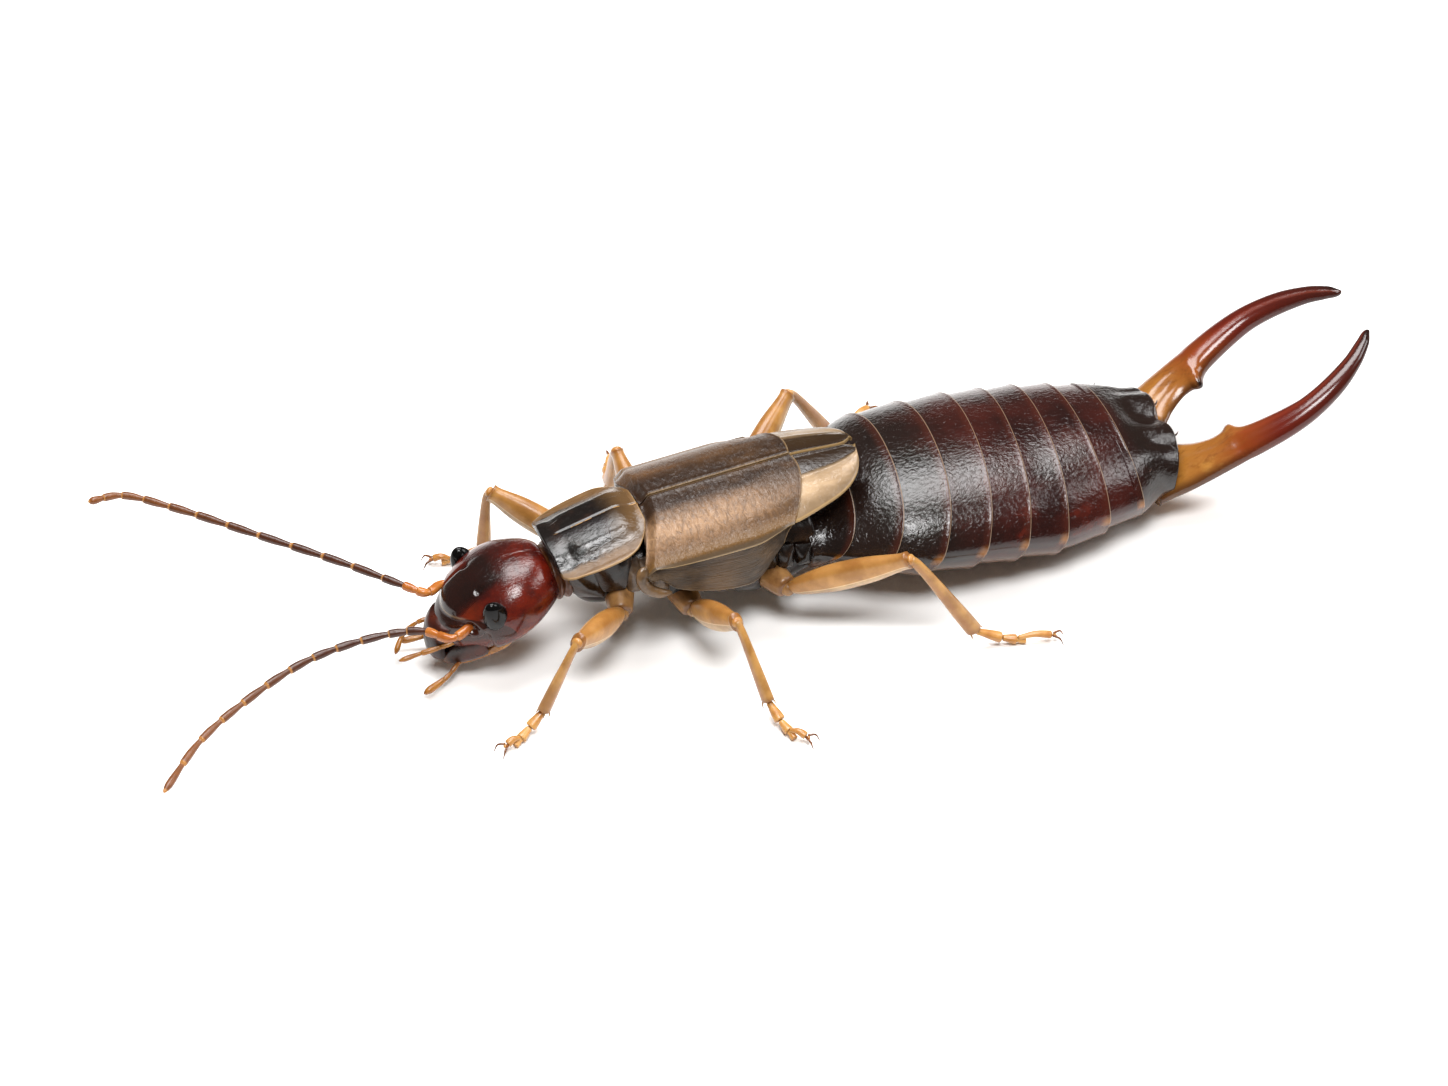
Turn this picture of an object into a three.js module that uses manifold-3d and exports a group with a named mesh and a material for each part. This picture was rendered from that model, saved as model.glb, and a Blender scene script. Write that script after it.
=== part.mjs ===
// A male common earwig, life size, standing with its forceps spread. Millimetres, +Z up.
// The head points to -X, the animal's left side is -Y, and the feet and belly rest on z = 0.
import * as THREE from 'three';
import { mergeVertices } from 'three/addons/utils/BufferGeometryUtils.js';
import Module from 'manifold-3d';

const wasm = await Module();
wasm.setup();

// Driving dimensions
const GAP = 0.1; // clear space where two pieces meet face to face
const WELD = 1e-4; // points nearer than this are one point
const SHIN_THICK = 0.46;
const ANTENNA_THICK = 0.44;
const ANTENNA_TIP_THICK = 0.26;
const ANTENNA_SEGMENTS = 14;
const FLOOR_DEPTH = 3;

// Head: its own axis dips forwards by this angle, through this centre
const HEAD_DIP = THREE.MathUtils.degToRad(20);
const HEAD_CENTRE = new THREE.Vector3(0.9, 0, 1.334);
const HEAD_BACK = -0.7;
const HEAD_FRONT = 1.5;
const HEAD_SQUARENESS = 2.2;
const EYE_CENTRE = [0.52, 0.79, 0.36]; // forwards, sideways, up from the head's centre
const EYE_RADII = [0.22, 0.2, 0.34];
const EYE_GAP = 0.07; // between an eye and its socket
const LABRUM_LENGTH = 0.34;
const LABRUM_HALF_WIDTH = 0.36;
const LABRUM_HALF_DEPTH = 0.24;
const JAW_BACK = 1.05; // ahead of the head's centre
const JAW_LENGTH = 0.72;
const JAW_HALF_DEPTH = 0.26;
const JAW_DROP = 0.42; // below the head's centre
const PALP_SEGMENTS = 4;
const PALP_THICK = 0.26;
const PALP_TIP_THICK = 0.2;
const PALP_WAIST = 0.75; // thickness at a joint against the full thickness
const ANTENNA_WAIST = 0.72;

// Chest
const NECK_FRONT = 1.66;
const NECK_HALF_WIDTH = 0.42;
const NECK_HALF_HEIGHT = 0.3;
const NECK_Z = 1.42;
const CHEST_SQUARENESS = 2.4;
const CHEST_LIP = 0.04; // how far a piece's rear edge stands out

// Pronotum: a plate that rises backwards
const PRONOTUM_FRONT = 1.5;
const PRONOTUM_LENGTH = 1.6;
const PRONOTUM_HALF_WIDTH = 0.89;
const PRONOTUM_FRONT_Z = 2.16;
const PRONOTUM_SLOPE = 0.258;
const PRONOTUM_ARCH = 0.16;
const PLATE_THICK = 0.42;
const PLATE_RIM_THICK = 0.26;

// Tegmina: the short leathery front wings, and the folded hind wings that stick out behind them
const TEGMEN_FRONT = 3.24;
const TEGMEN_REACH = 0.34; // how far the shoulder reaches forwards of the seam
const TEGMEN_REAR = 5.88;
const TEGMEN_TOP_Z = 2.62;
const TEGMEN_RISE = 0.05; // rise of the seam for each millimetre backwards
const SHOULDER_Y = 1.24; // where the tegmen bends down the side
const SHOULDER_DROP = 0.46;
const FLAP_Y = 1.32;
const SEAM_Y = GAP / 2;
const WING_REAR = 7.06;
const WING_DROP = 0.4;
const WING_TILT = 0.1; // how far the tip hangs below the seam's line
const WING_THICK = 0.3;
const RIDGE = 0.04; // height of the fold along a wing

// Abdomen
const ABDOMEN_FRONT = 6.02;
const ABDOMEN_REAR = 12.45;
const RING_LIP = 0.03;
const LAST_RING_SQUARENESS = 2.3;
const LAST_RING_TILT = 0.16; // how far the last piece's back reaches over the forceps
const LAST_BUMP_RADII = [0.2, 0.18, 0.16];

// Forceps: both lie in one plane that rises backwards from the last ring
const FORCEPS_RISE = THREE.MathUtils.degToRad(27.5);
const FORCEPS_ROOT = new THREE.Vector3(12.4, 0, 0.6);
const FORCEPS_TIP_X = 16.42;
const TOOTH_THICK = 0.3;

// Legs
const COXA_THICK = 0.56;
const COXA_TAPER = 0.25;
const FEMUR_THICK = { fore: [0.34, 0.52], mid: [0.34, 0.54], hind: [0.36, 0.56] };
const SHIN_END_THICK = 0.36;
const SHIN_FLATNESS = 0.92; // its width against its depth
const FOOT_THICK = 0.26;
const FOOT_END_THICK = 0.24;
const FOOT_WAIST = 0.8;
const CLAW_THICK = 0.12;

// Small helpers
const vec = (x, y, z) => new THREE.Vector3(x, y, z);
const lerp = THREE.MathUtils.lerp;
const clamp = THREE.MathUtils.clamp;
const smooth = (t) => t * t * (3 - 2 * t);

/** A smooth function through a few [at, value] stops, level beyond its two ends. */
function profile(stops) {
  const slope = (i) => {
    if (i === 0 || i === stops.length - 1) return 0;
    return (stops[i + 1][1] - stops[i - 1][1]) / (stops[i + 1][0] - stops[i - 1][0]);
  };
  return (at) => {
    if (at <= stops[0][0]) return stops[0][1];
    if (at >= stops[stops.length - 1][0]) return stops[stops.length - 1][1];
    const i = stops.findIndex((stop) => stop[0] > at) - 1;
    const span = stops[i + 1][0] - stops[i][0];
    const t = (at - stops[i][0]) / span;
    const rise = stops[i + 1][1] - stops[i][1];
    const curve = (slope(i) * span * (1 - t) - slope(i + 1) * span * t) + rise * (2 * t - 1);
    return stops[i][1] + rise * t + t * (1 - t) * curve;
  };
}

/** Turns every face out by the sign of the enclosed volume. */
function facesOut(geometry) {
  const { array } = geometry.index;
  const at = (i) => vec().fromBufferAttribute(geometry.attributes.position, array[i]);
  let volume = 0;
  for (let i = 0; i < array.length; i += 3) {
    volume += at(i).dot(at(i + 1).cross(at(i + 2)));
  }
  if (volume < 0) {
    for (let i = 0; i < array.length; i += 3) {
      [array[i], array[i + 1]] = [array[i + 1], array[i]];
    }
  }
  return geometry;
}

/**
 * A closed body made of rings. place(t, side, up, rim) puts each point: t runs from 0 to 1 along
 * the body, (side, up) is on the unit circle, and rim is 1 on the wall and 0 at an end's middle.
 */
function skin(sides, steps, place) {
  const geometry = new THREE.CylinderGeometry(1, 1, 1, sides, steps);
  geometry.deleteAttribute('normal');
  geometry.deleteAttribute('uv');
  const points = geometry.attributes.position;
  for (let i = 0; i < points.count; i += 1) {
    const side = points.getX(i);
    const up = points.getZ(i);
    const rim = Math.hypot(side, up) > 0.5 ? 1 : 0;
    const placed = place(0.5 - points.getY(i), side, up, rim);
    points.setXYZ(i, placed.x, placed.y, placed.z);
  }
  return facesOut(mergeVertices(geometry, WELD));
}

/** Moves a point of the unit circle out to a squarer ring: 2 is a circle, more is squarer. */
function squared(side, up, power) {
  const size = (Math.abs(side) ** power + Math.abs(up) ** power) ** (-1 / power);
  return Number.isFinite(size) ? [side * size, up * size] : [0, 0];
}

function toSolid(geometry) {
  const vertProperties = new Float32Array(geometry.attributes.position.array);
  const triVerts = new Uint32Array(geometry.index.array);
  return new wasm.Manifold(new wasm.Mesh({ numProp: 3, vertProperties, triVerts }));
}

/** The largest closed surface of a solid, as a geometry. */
function fromSolid(solid) {
  const pieces = solid.decompose();
  pieces.sort((a, b) => b.volume() - a.volume());
  const mesh = pieces[0].getMesh();
  const geometry = new THREE.BufferGeometry();
  const points = new THREE.BufferAttribute(new Float32Array(mesh.vertProperties), 3);
  geometry.setAttribute('position', points);
  geometry.setIndex(new THREE.BufferAttribute(new Uint32Array(mesh.triVerts), 1));
  return mergeVertices(geometry, WELD);
}

const fuse = (first, ...more) =>
  fromSolid(more.reduce((sum, next) => sum.add(toSolid(next)), toSolid(first)));
const carve = (first, ...tools) =>
  fromSolid(tools.reduce((rest, tool) => rest.subtract(toSolid(tool)), toSolid(first)));

/** Cuts away what lies below the floor, which leaves a small flat. */
function standOnFloor(geometry) {
  geometry.computeBoundingBox();
  if (geometry.boundingBox.min.z >= 0) return geometry;
  const size = geometry.boundingBox.getSize(vec());
  const middle = geometry.boundingBox.getCenter(vec());
  const below = new THREE.BoxGeometry(size.x + 1, size.y + 1, FLOOR_DEPTH);
  below.deleteAttribute('normal');
  below.deleteAttribute('uv');
  below.translate(middle.x, middle.y, -FLOOR_DEPTH / 2);
  return carve(geometry, mergeVertices(below, WELD));
}

/** An ellipsoid with its three radii along the given axes. */
function ellipsoid(centre, radii, axes, sides = 12, steps = 8) {
  return skin(sides, steps, (t, side, up, rim) => {
    const turn = t * Math.PI;
    const reach = rim * Math.sin(turn);
    return centre.clone()
      .addScaledVector(axes[0], radii[0] * Math.cos(turn))
      .addScaledVector(axes[1], radii[1] * reach * side)
      .addScaledVector(axes[2], radii[2] * reach * up);
  });
}

/**
 * A limb piece along a path. across is the direction of its width; width(t) and depth(t) are full
 * sizes. The end rings can be turned to lie flat against a neighbour's.
 */
function limb({ path, across, width, depth, sides = 8, steps = 6, startNormal, endNormal }) {
  const curve = path.length > 2 ? new THREE.CatmullRomCurve3(path) : new THREE.LineCurve3(...path);
  return skin(sides, steps, (t, side, up, rim) => {
    const along = curve.getTangentAt(t);
    if (startNormal) along.lerp(startNormal, clamp(1 - 4 * t, 0, 1)).normalize();
    if (endNormal) along.lerp(endNormal, clamp(4 * t - 3, 0, 1)).normalize();
    const wide = across.clone().addScaledVector(along, -across.dot(along)).normalize();
    const deep = vec().crossVectors(along, wide);
    return curve.getPointAt(t)
      .addScaledVector(wide, 0.5 * width(t) * side * rim)
      .addScaledVector(deep, 0.5 * depth(t) * up * rim);
  });
}

/** A thin curved spike, such as a claw, a spur or a tooth. */
function spike(from, bend, tip, thick, sides = 5, steps = 3) {
  const across = vec().crossVectors(vec().subVectors(bend, from), vec().subVectors(tip, bend)).normalize();
  const taper = (t) => thick * (1 - 0.8 * t);
  return limb({ path: [from, bend, tip], across, width: taper, depth: taper, sides, steps });
}

const material = (color, roughness, metalness = 0) => ({ color, roughness, metalness });
const LOOKS = {
  head: material(0x4a1008, 0.25),
  eye: material(0x0a0909, 0.08),
  mouth: material(0x2a0f08, 0.35),
  amber: material(0xc98a3c, 0.4),
  antenna: material(0x6b3a1c, 0.45),
  pronotum: material(0x1d1410, 0.25),
  thorax: material(0x2c1d15, 0.5),
  tegmen: material(0x6d543a, 0.45),
  wing: material(0xa8895c, 0.45),
  abdomen: material(0x26100d, 0.28),
  forceps: material(0x8e3f1c, 0.25),
};

const earwig = new THREE.Group();

function add(name, geometry, look) {
  const mesh = new THREE.Mesh(geometry, new THREE.MeshStandardMaterial(look));
  mesh.name = name;
  earwig.add(mesh);
  return mesh;
}

const SIDES = [['left', -1], ['right', 1]];

// Head
const forwards = vec(-Math.cos(HEAD_DIP), 0, -Math.sin(HEAD_DIP));
const upwards = vec(-Math.sin(HEAD_DIP), 0, Math.cos(HEAD_DIP));
const sideways = vec(0, 1, 0);

/** A place in the head's own frame: forwards, sideways and up from its centre. */
const inHead = (ahead, aside, above) => HEAD_CENTRE.clone()
  .addScaledVector(forwards, ahead)
  .addScaledVector(sideways, aside)
  .addScaledVector(upwards, above);

const headHalfWidth = profile([[-0.7, 0.38], [-0.63, 0.6], [-0.45, 0.8], [0, 1.01], [0.45, 1.01],
  [0.9, 0.82], [1.2, 0.6], [1.5, 0.4]]);
const headTop = profile([[-0.74, 0.22], [-0.66, 0.46], [-0.4, 0.64], [0, 0.74], [0.5, 0.7], [1, 0.54],
  [1.5, 0.3]]);
const headBottom = profile([[-0.74, 0.18], [-0.66, 0.24], [-0.4, 0.32], [0, 0.4], [0.5, 0.5], [1, 0.58],
  [1.5, 0.42]]);

function headSolid(grow) {
  return skin(20, 11, (t, side, up, rim) => {
    const ahead = lerp(HEAD_BACK, HEAD_FRONT, 0.5 - 0.5 * Math.cos(t * Math.PI));
    const [s, u] = squared(side, up, HEAD_SQUARENESS);
    const reach = up > 0 ? headTop(ahead) : headBottom(ahead);
    const stretch = 1 + grow / headHalfWidth(0);
    return inHead(ahead * stretch, s * (headHalfWidth(ahead) + grow) * rim, u * (reach + grow) * rim);
  });
}

const headKeepOut = headSolid(GAP);
const eyeShape = (hand, grow) => ellipsoid(
  inHead(EYE_CENTRE[0], hand * EYE_CENTRE[1], EYE_CENTRE[2]),
  EYE_RADII.map((radius) => radius + grow),
  [forwards, vec(0, 0.83, 0).addScaledVector(upwards, 0.55 * hand).normalize(), upwards],
  10,
  6,
);

add('head', carve(headSolid(0), eyeShape(-1, EYE_GAP), eyeShape(1, EYE_GAP)), LOOKS.head);
for (const [name, hand] of SIDES) add(`eye_${name}`, eyeShape(hand, 0), LOOKS.eye);

// Mouthparts: upper lip, jaws and the two pairs of palps
const labrum = skin(10, 3, (t, side, up, rim) => {
  const [s, u] = squared(side, up, 3);
  const taper = 1 - 0.35 * t;
  const deep = (LABRUM_HALF_DEPTH - 0.04 * t) * rim;
  return inHead(HEAD_FRONT + GAP + LABRUM_LENGTH * t, s * LABRUM_HALF_WIDTH * taper * rim, 0.02 + u * deep);
});
add('labrum', labrum, LOOKS.mouth);

for (const [name, hand] of SIDES) {
  const jaw = skin(8, 4, (t, side, up, rim) => {
    const [s, u] = squared(side, up, 2.6);
    const middle = 0.26 - 0.1 * smooth(t);
    const wide = (0.22 - 0.1 * t) * rim;
    const deep = (JAW_HALF_DEPTH - 0.1 * t) * rim;
    return inHead(JAW_BACK + JAW_LENGTH * t, hand * (middle + s * wide), u * deep - JAW_DROP);
  });
  add(`mandible_${name}`, carve(jaw, headKeepOut), LOOKS.mouth);
}

/** A jointed palp or feeler: full thickness along each segment and a waist at each joint. */
function jointed(path, segments, thick, tipThick, sides, waist) {
  const steps = segments * 3;
  const size = (t) => {
    const inside = (t * segments) % 1;
    const nearJoint = inside < 0.17 || inside > 0.95;
    const whole = lerp(thick, tipThick, t);
    return nearJoint && t > 0.01 && t < 0.99 ? whole * waist : whole;
  };
  const run = vec().subVectors(path[path.length - 1], path[0]);
  const across = vec().crossVectors(run, vec(0, 0, 1)).normalize();
  return limb({ path, across, width: size, depth: size, sides, steps });
}

const PALPS = {
  maxillary_palp_left: [[-0.2, -0.3, 0.72], [-0.62, -0.34, 0.72], [-0.95, -0.3, 0.66], [-1.3, -0.3, 0.62]],
  maxillary_palp_right: [[-0.3, 0.42, 0.75], [-0.72, 0.44, 0.68], [-0.96, 0.5, 0.4], [-1.16, 0.3, 0.22]],
  labial_palp_left: [[-0.02, -0.36, 0.5], [-0.3, -0.46, 0.36], [-0.56, -0.6, 0.26], [-1.03, -0.76, 0.17]],
  labial_palp_right: [[-0.02, 0.36, 0.45], [-0.34, 0.46, 0.3], [-0.6, 0.56, 0.22], [-0.98, 0.64, 0.17]],
};
for (const [name, points] of Object.entries(PALPS)) {
  const path = points.map((point) => vec(...point));
  const palp = jointed(path, PALP_SEGMENTS, PALP_THICK, PALP_TIP_THICK, 6, PALP_WAIST);
  add(name, standOnFloor(carve(palp, headKeepOut)), LOOKS.amber);
}

// Feelers: each leaves its socket between the eye and the upper lip
const FEELERS = {
  antenna_left: [[0.1, -0.42, 1.26], [-0.07, -0.54, 1.24], [-0.47, -0.7, 1.2], [-0.83, -0.27, 1.12],
    [-1.43, -0.04, 1.04], [-2.77, -0.04, 0.93], [-4.18, -0.56, 0.81], [-5.09, -1.09, 0.73],
    [-6.02, -1.97, 0.65]],
  antenna_right: [[0.0, 0.44, 1.34], [-0.25, 0.51, 1.34], [-0.53, 0.37, 1.36], [-0.87, 0.68, 1.39],
    [-1.52, 1.42, 1.42], [-2.76, 2.7, 1.47], [-3.94, 3.89, 1.52], [-4.62, 4.42, 1.55],
    [-5.2, 4.43, 1.58]],
};
for (const [name, points] of Object.entries(FEELERS)) {
  const path = points.map((point) => vec(...point));
  const feeler = jointed(path, ANTENNA_SEGMENTS, ANTENNA_THICK, ANTENNA_TIP_THICK, 6, ANTENNA_WAIST);
  add(name, carve(feeler, headKeepOut), LOOKS.antenna);
}

/**
 * A ring-shaped piece of the trunk between a front and a rear edge, each a function of where round
 * the ring a point is: up, then side.
 */
function trunk(shape, frontX, rearX, lip, sides = 20, power = 2) {
  const steps = [0, 0.12, 0.85, 1];
  const inset = [-1.6, 0, 0.4, 1];
  return skin(sides, 3, (t, side, up, rim) => {
    const step = Math.round(t * 3);
    const x = lerp(frontX(up, side), rearX(up, side), steps[step]);
    const [s, u] = squared(side, up, power);
    const wide = shape.halfWidth(x) + lip * inset[step];
    const high = shape.halfHeight(x) + lip * inset[step];
    return vec(x, s * wide * rim, shape.midZ(x) + u * high * rim);
  });
}

// Neck and chest, below the plates
const CHEST = {
  halfWidth: profile([[1.7, 0.42], [2.3, 0.6], [3.0, 0.66], [3.4, 0.78], [4.6, 0.82], [5.9, 0.9]]),
  halfHeight: profile([[1.7, 0.32], [2.1, 0.4], [3.0, 0.52], [3.4, 0.66], [4.6, 0.76], [5.4, 0.76],
    [5.9, 0.68]]),
  midZ: profile([[1.7, 1.36], [2.1, 1.24], [3.0, 1.38], [3.4, 1.42], [4.6, 1.32], [5.4, 1.24],
    [5.9, 1.28]]),
};
const CHEST_JOINTS = [1.96, 3.14, 4.5, 5.88];
const level = (x) => () => x;

add('neck', skin(12, 2, (t, side, up, rim) => {
  const x = lerp(NECK_FRONT, CHEST_JOINTS[0] - GAP, t);
  return vec(x, side * NECK_HALF_WIDTH * rim, NECK_Z + up * NECK_HALF_HEIGHT * rim);
}), LOOKS.thorax);
['prothorax', 'mesothorax', 'metathorax'].forEach((name, i) => {
  const front = level(CHEST_JOINTS[i] + (i > 0 ? GAP : 0));
  const piece = trunk(CHEST, front, level(CHEST_JOINTS[i + 1]), CHEST_LIP, 16, CHEST_SQUARENESS);
  add(name, piece, LOOKS.thorax);
});

const chestKeepOut = trunk({
  halfWidth: (x) => CHEST.halfWidth(x) + GAP,
  halfHeight: (x) => CHEST.halfHeight(x) + GAP,
  midZ: CHEST.midZ,
}, level(CHEST_JOINTS[0] - GAP), level(CHEST_JOINTS[3] + GAP), 0, 16, CHEST_SQUARENESS);

// Pronotum: a plate with square front corners and a rounded rear edge
const pronotumHalfWidth = (t) => {
  const front = clamp(t / 0.12, 0, 1);
  const rear = clamp((t - 0.62) / 0.38, 0, 1);
  const bulge = 0.93 + 0.11 * Math.sin(Math.PI * t) + 0.04 * t;
  const corners = (0.9 + 0.1 * Math.sqrt(front)) * Math.sqrt(1 - 0.8 * rear ** 2.6);
  return PRONOTUM_HALF_WIDTH * bulge * corners;
};
add('pronotum', skin(20, 9, (t, side, up, rim) => {
  const along = 0.5 - 0.5 * Math.cos(t * Math.PI);
  const x = PRONOTUM_FRONT + PRONOTUM_LENGTH * along;
  const [s, u] = squared(side, up, 4);
  const y = s * pronotumHalfWidth(along) * rim;
  const outwards = Math.abs(y) / PRONOTUM_HALF_WIDTH;
  const middle = PRONOTUM_FRONT_Z + PRONOTUM_SLOPE * (x - PRONOTUM_FRONT);
  const top = middle - PRONOTUM_ARCH * outwards ** 2;
  const thick = lerp(PLATE_THICK, PLATE_RIM_THICK, outwards ** 3);
  const edge = t === 0 || t === 1 ? 0.6 : 1;
  return vec(x, y, top - thick / 2 + (u * rim * edge * thick) / 2);
}), LOOKS.pronotum);

// Tegmina: a roof from the seam to the shoulder, then a flap down the side
const flapBottom = profile([[2.95, 1.9], [3.36, 1.57], [4.0, 1.32], [4.6, 1.25], [4.9, 1.33], [5.2, 1.7],
  [5.45, 2.0]]);
const seamZ = (x) => TEGMEN_TOP_Z + TEGMEN_RISE * (x - TEGMEN_FRONT);

/** The rear edge of a tegmen, by the share from its seam to its shoulder. */
const tegmenRear = (roof) => TEGMEN_REAR - 0.3 * roof ** 2 + 0.2 * roof * (1 - roof);

/** A place on the tegmen's outer face: v is 0 at the seam, 0.5 at the shoulder, 1 at the flap's edge. */
function tegmenFace(t, v) {
  const roof = Math.min(1, 2 * v);
  const flap = Math.max(0, 2 * v - 1);
  const front = TEGMEN_FRONT - TEGMEN_REACH * roof ** 2;
  const x = lerp(front, tegmenRear(roof) - 0.24 * flap, t);
  const shoulderY = SHOULDER_Y * (1 - 0.1 * smooth(clamp((t - 0.7) / 0.3, 0, 1)));
  const shoulderZ = seamZ(x) - SHOULDER_DROP;
  const y = lerp(SEAM_Y, shoulderY, roof) + (FLAP_Y - SHOULDER_Y) * flap;
  const z = lerp(seamZ(x) - SHOULDER_DROP * roof ** 3, Math.min(flapBottom(x), shoulderZ - 0.12), flap);
  return vec(x, y, z);
}

function tegmen(hand) {
  const step = 0.02;
  return skin(20, 9, (t, side, up, rim) => {
    const v = rim ? (1 - side) / 2 : 0.5;
    const face = tegmenFace(t, v);
    const onwards = tegmenFace(t, Math.min(1, v + step)).sub(tegmenFace(t, Math.max(0, v - step)));
    const inward = vec(0, -onwards.z, onwards.y).normalize();
    if (inward.z > 0) inward.negate();
    const edge = t === 0 || t === 1 ? 0.7 : 1;
    const depth = PLATE_THICK * 0.5 * (1 - edge * Math.sign(up) * Math.abs(up) ** 0.2 * rim);
    const ridge = up > 0.99 ? -0.05 : 0;
    const placed = face.addScaledVector(inward, depth + ridge);
    return vec(placed.x, hand * placed.y, placed.z);
  });
}

// Folded hind wings: flat tips that narrow to a broad round end behind the tegmina
const wingHalfWidth = profile([[0, 1.1], [0.3, 1.0], [0.6, 0.84], [0.85, 0.6], [1, 0.36]]);

function wing(hand) {
  return skin(16, 6, (t, side, up, rim) => {
    const q = rim ? (1 - side) / 2 : 0.5;
    const x = lerp(tegmenRear(q) + GAP, WING_REAR - 0.06 * (1 - q) ** 2 - 0.12 * q ** 3, t);
    const y = lerp(SEAM_Y, wingHalfWidth(t), q);
    const top = seamZ(x) - WING_DROP * (y / wingHalfWidth(0)) ** 2 - WING_TILT * t;
    const bulge = Math.sign(up) * Math.abs(up) ** 0.4 * rim * (t === 0 || t === 1 ? 0.7 : 1);
    const ridge = up > 0.99 ? RIDGE : 0;
    return vec(x, hand * y, top - WING_THICK * 0.5 * (1 - bulge) + ridge);
  });
}
for (const [name, hand] of SIDES) {
  add(`tegmen_${name}`, tegmen(hand), LOOKS.tegmen);
  add(`wing_${name}`, wing(hand), LOOKS.wing);
}

// Abdomen: overlapping rings whose rear edges sweep forwards down the sides
const ABDOMEN = {
  halfWidth: profile([[6.0, 1.12], [6.6, 1.42], [7.4, 1.83], [8.4, 1.93], [10.2, 1.93], [11.1, 1.73],
    [11.9, 1.5], [12.45, 1.24]]),
  halfHeight: profile([[6.0, 0.52], [6.6, 0.64], [7.1, 0.82], [7.6, 0.94], [8.4, 1.0], [10.2, 1.02],
    [11.1, 0.94], [11.9, 0.8], [12.45, 0.6]]),
  midZ: profile([[6.0, 1.26], [7.4, 1.29], [9.1, 1.17], [10.2, 1.02], [11.1, 1.0], [12.45, 0.93]]),
};

// The rear edge of each ring on the back, how far it sweeps forwards round the sides, and how far
// the animal's right side lies behind its left, because the body bends a little
const RINGS = [[6.86, 0.28, 0.06], [7.69, 0.44, 0.15], [8.53, 0.44, 0.19], [9.27, 0.35, 0.23],
  [9.95, 0.27, 0.23], [10.56, 0.2, 0.16], [11.19, 0.05, 0.05], [11.79, -0.05, 0.02]];

const ringRear = (i) => (up, side) => {
  const [rear, sweep, skew] = RINGS[i];
  return rear + skew * side - sweep * clamp(1 - up, 0, 1.6) ** 1.2;
};
const ringFront = (i) => {
  if (i === 0) return (up) => ABDOMEN_FRONT - 0.1 * (1 - up) / 2;
  return (up, side) => ringRear(i - 1)(up, side) + GAP;
};
RINGS.forEach((ring, i) => {
  const piece = trunk(ABDOMEN, ringFront(i), ringRear(i), RING_LIP, 24);
  add(`abdomen_${i + 1}`, standOnFloor(piece), LOOKS.abdomen);
});
const endFace = (up) => ABDOMEN_REAR + LAST_RING_TILT * Math.max(0, up);
const lastFront = ringFront(RINGS.length);
const lastRing = trunk(ABDOMEN, lastFront, endFace, 0.02, 24, LAST_RING_SQUARENESS);
const bumps = [[12.2, 0.42], [12.2, 0.98]].flatMap(([x, y]) => SIDES.map(([, hand]) => {
  const z = ABDOMEN.midZ(x) + ABDOMEN.halfHeight(x) * Math.sqrt(1 - (y / ABDOMEN.halfWidth(x)) ** 2);
  const axes = [vec(1, 0, 0), sideways, vec(0, 0, 1)];
  return ellipsoid(vec(x, hand * y, z - 0.06), LAST_BUMP_RADII, axes, 8, 5);
}));
add('abdomen_end', fuse(lastRing, ...bumps), LOOKS.abdomen);

// Forceps: broad toothed bases, then two long arms that bow out and meet again at the tips
const armMiddle = profile([[12.4, 0.76], [13.0, 0.82], [13.5, 1.0], [13.9, 1.11], [14.25, 1.22],
  [14.7, 1.3], [15.05, 1.3], [15.5, 1.19], [15.95, 0.97], [16.22, 0.76], [16.42, 0.56]]);
const armWidth = profile([[12.4, 0.9], [13.0, 1.04], [13.5, 0.84], [13.9, 0.72], [14.25, 0.6], [14.7, 0.53],
  [15.05, 0.47], [15.5, 0.4], [15.95, 0.3], [16.22, 0.19], [16.42, 0.1]]);
const armDepth = profile([[12.4, 0.5], [13.5, 0.46], [14.6, 0.42], [15.5, 0.34], [16.1, 0.22],
  [16.42, 0.1]]);

/** A place in the plane of the forceps, by its x, its y and its height above the plane. */
function inForceps(x, y, above) {
  const rise = (x - FORCEPS_ROOT.x) * Math.tan(FORCEPS_RISE);
  return vec(x - above * Math.sin(FORCEPS_RISE), y, FORCEPS_ROOT.z + rise + above * Math.cos(FORCEPS_RISE));
}

function forceps(hand) {
  const front = ABDOMEN_REAR + GAP;
  const arm = skin(10, 14, (t, side, up, rim) => {
    const x = lerp(front, FORCEPS_TIP_X, t);
    const lean = (armMiddle(x + 0.02) - armMiddle(x - 0.02)) / 0.04;
    const across = side * 0.5 * armWidth(x) / Math.hypot(1, lean) * rim;
    const deep = 0.5 * armDepth(x) * up * rim;
    const blend = smooth(clamp(t * 5, 0, 1));
    const shift = -across * lean * blend;
    const placed = inForceps(x + shift, armMiddle(x) + across, deep * blend);
    placed.z += deep * (1 - blend) * 0.9;
    return vec(placed.x, hand * placed.y, placed.z);
  });
  const toothPath = [[13.58, 0.76, 0], [13.72, 0.64, 0.01], [13.82, 0.54, 0.02]];
  const toothPlaces = toothPath.map(([x, y, above]) => inForceps(x, hand * y, above));
  return fuse(arm, spike(...toothPlaces, TOOTH_THICK));
}
for (const [name, hand] of SIDES) add(`forceps_${name}`, forceps(hand), LOOKS.forceps);

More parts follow.
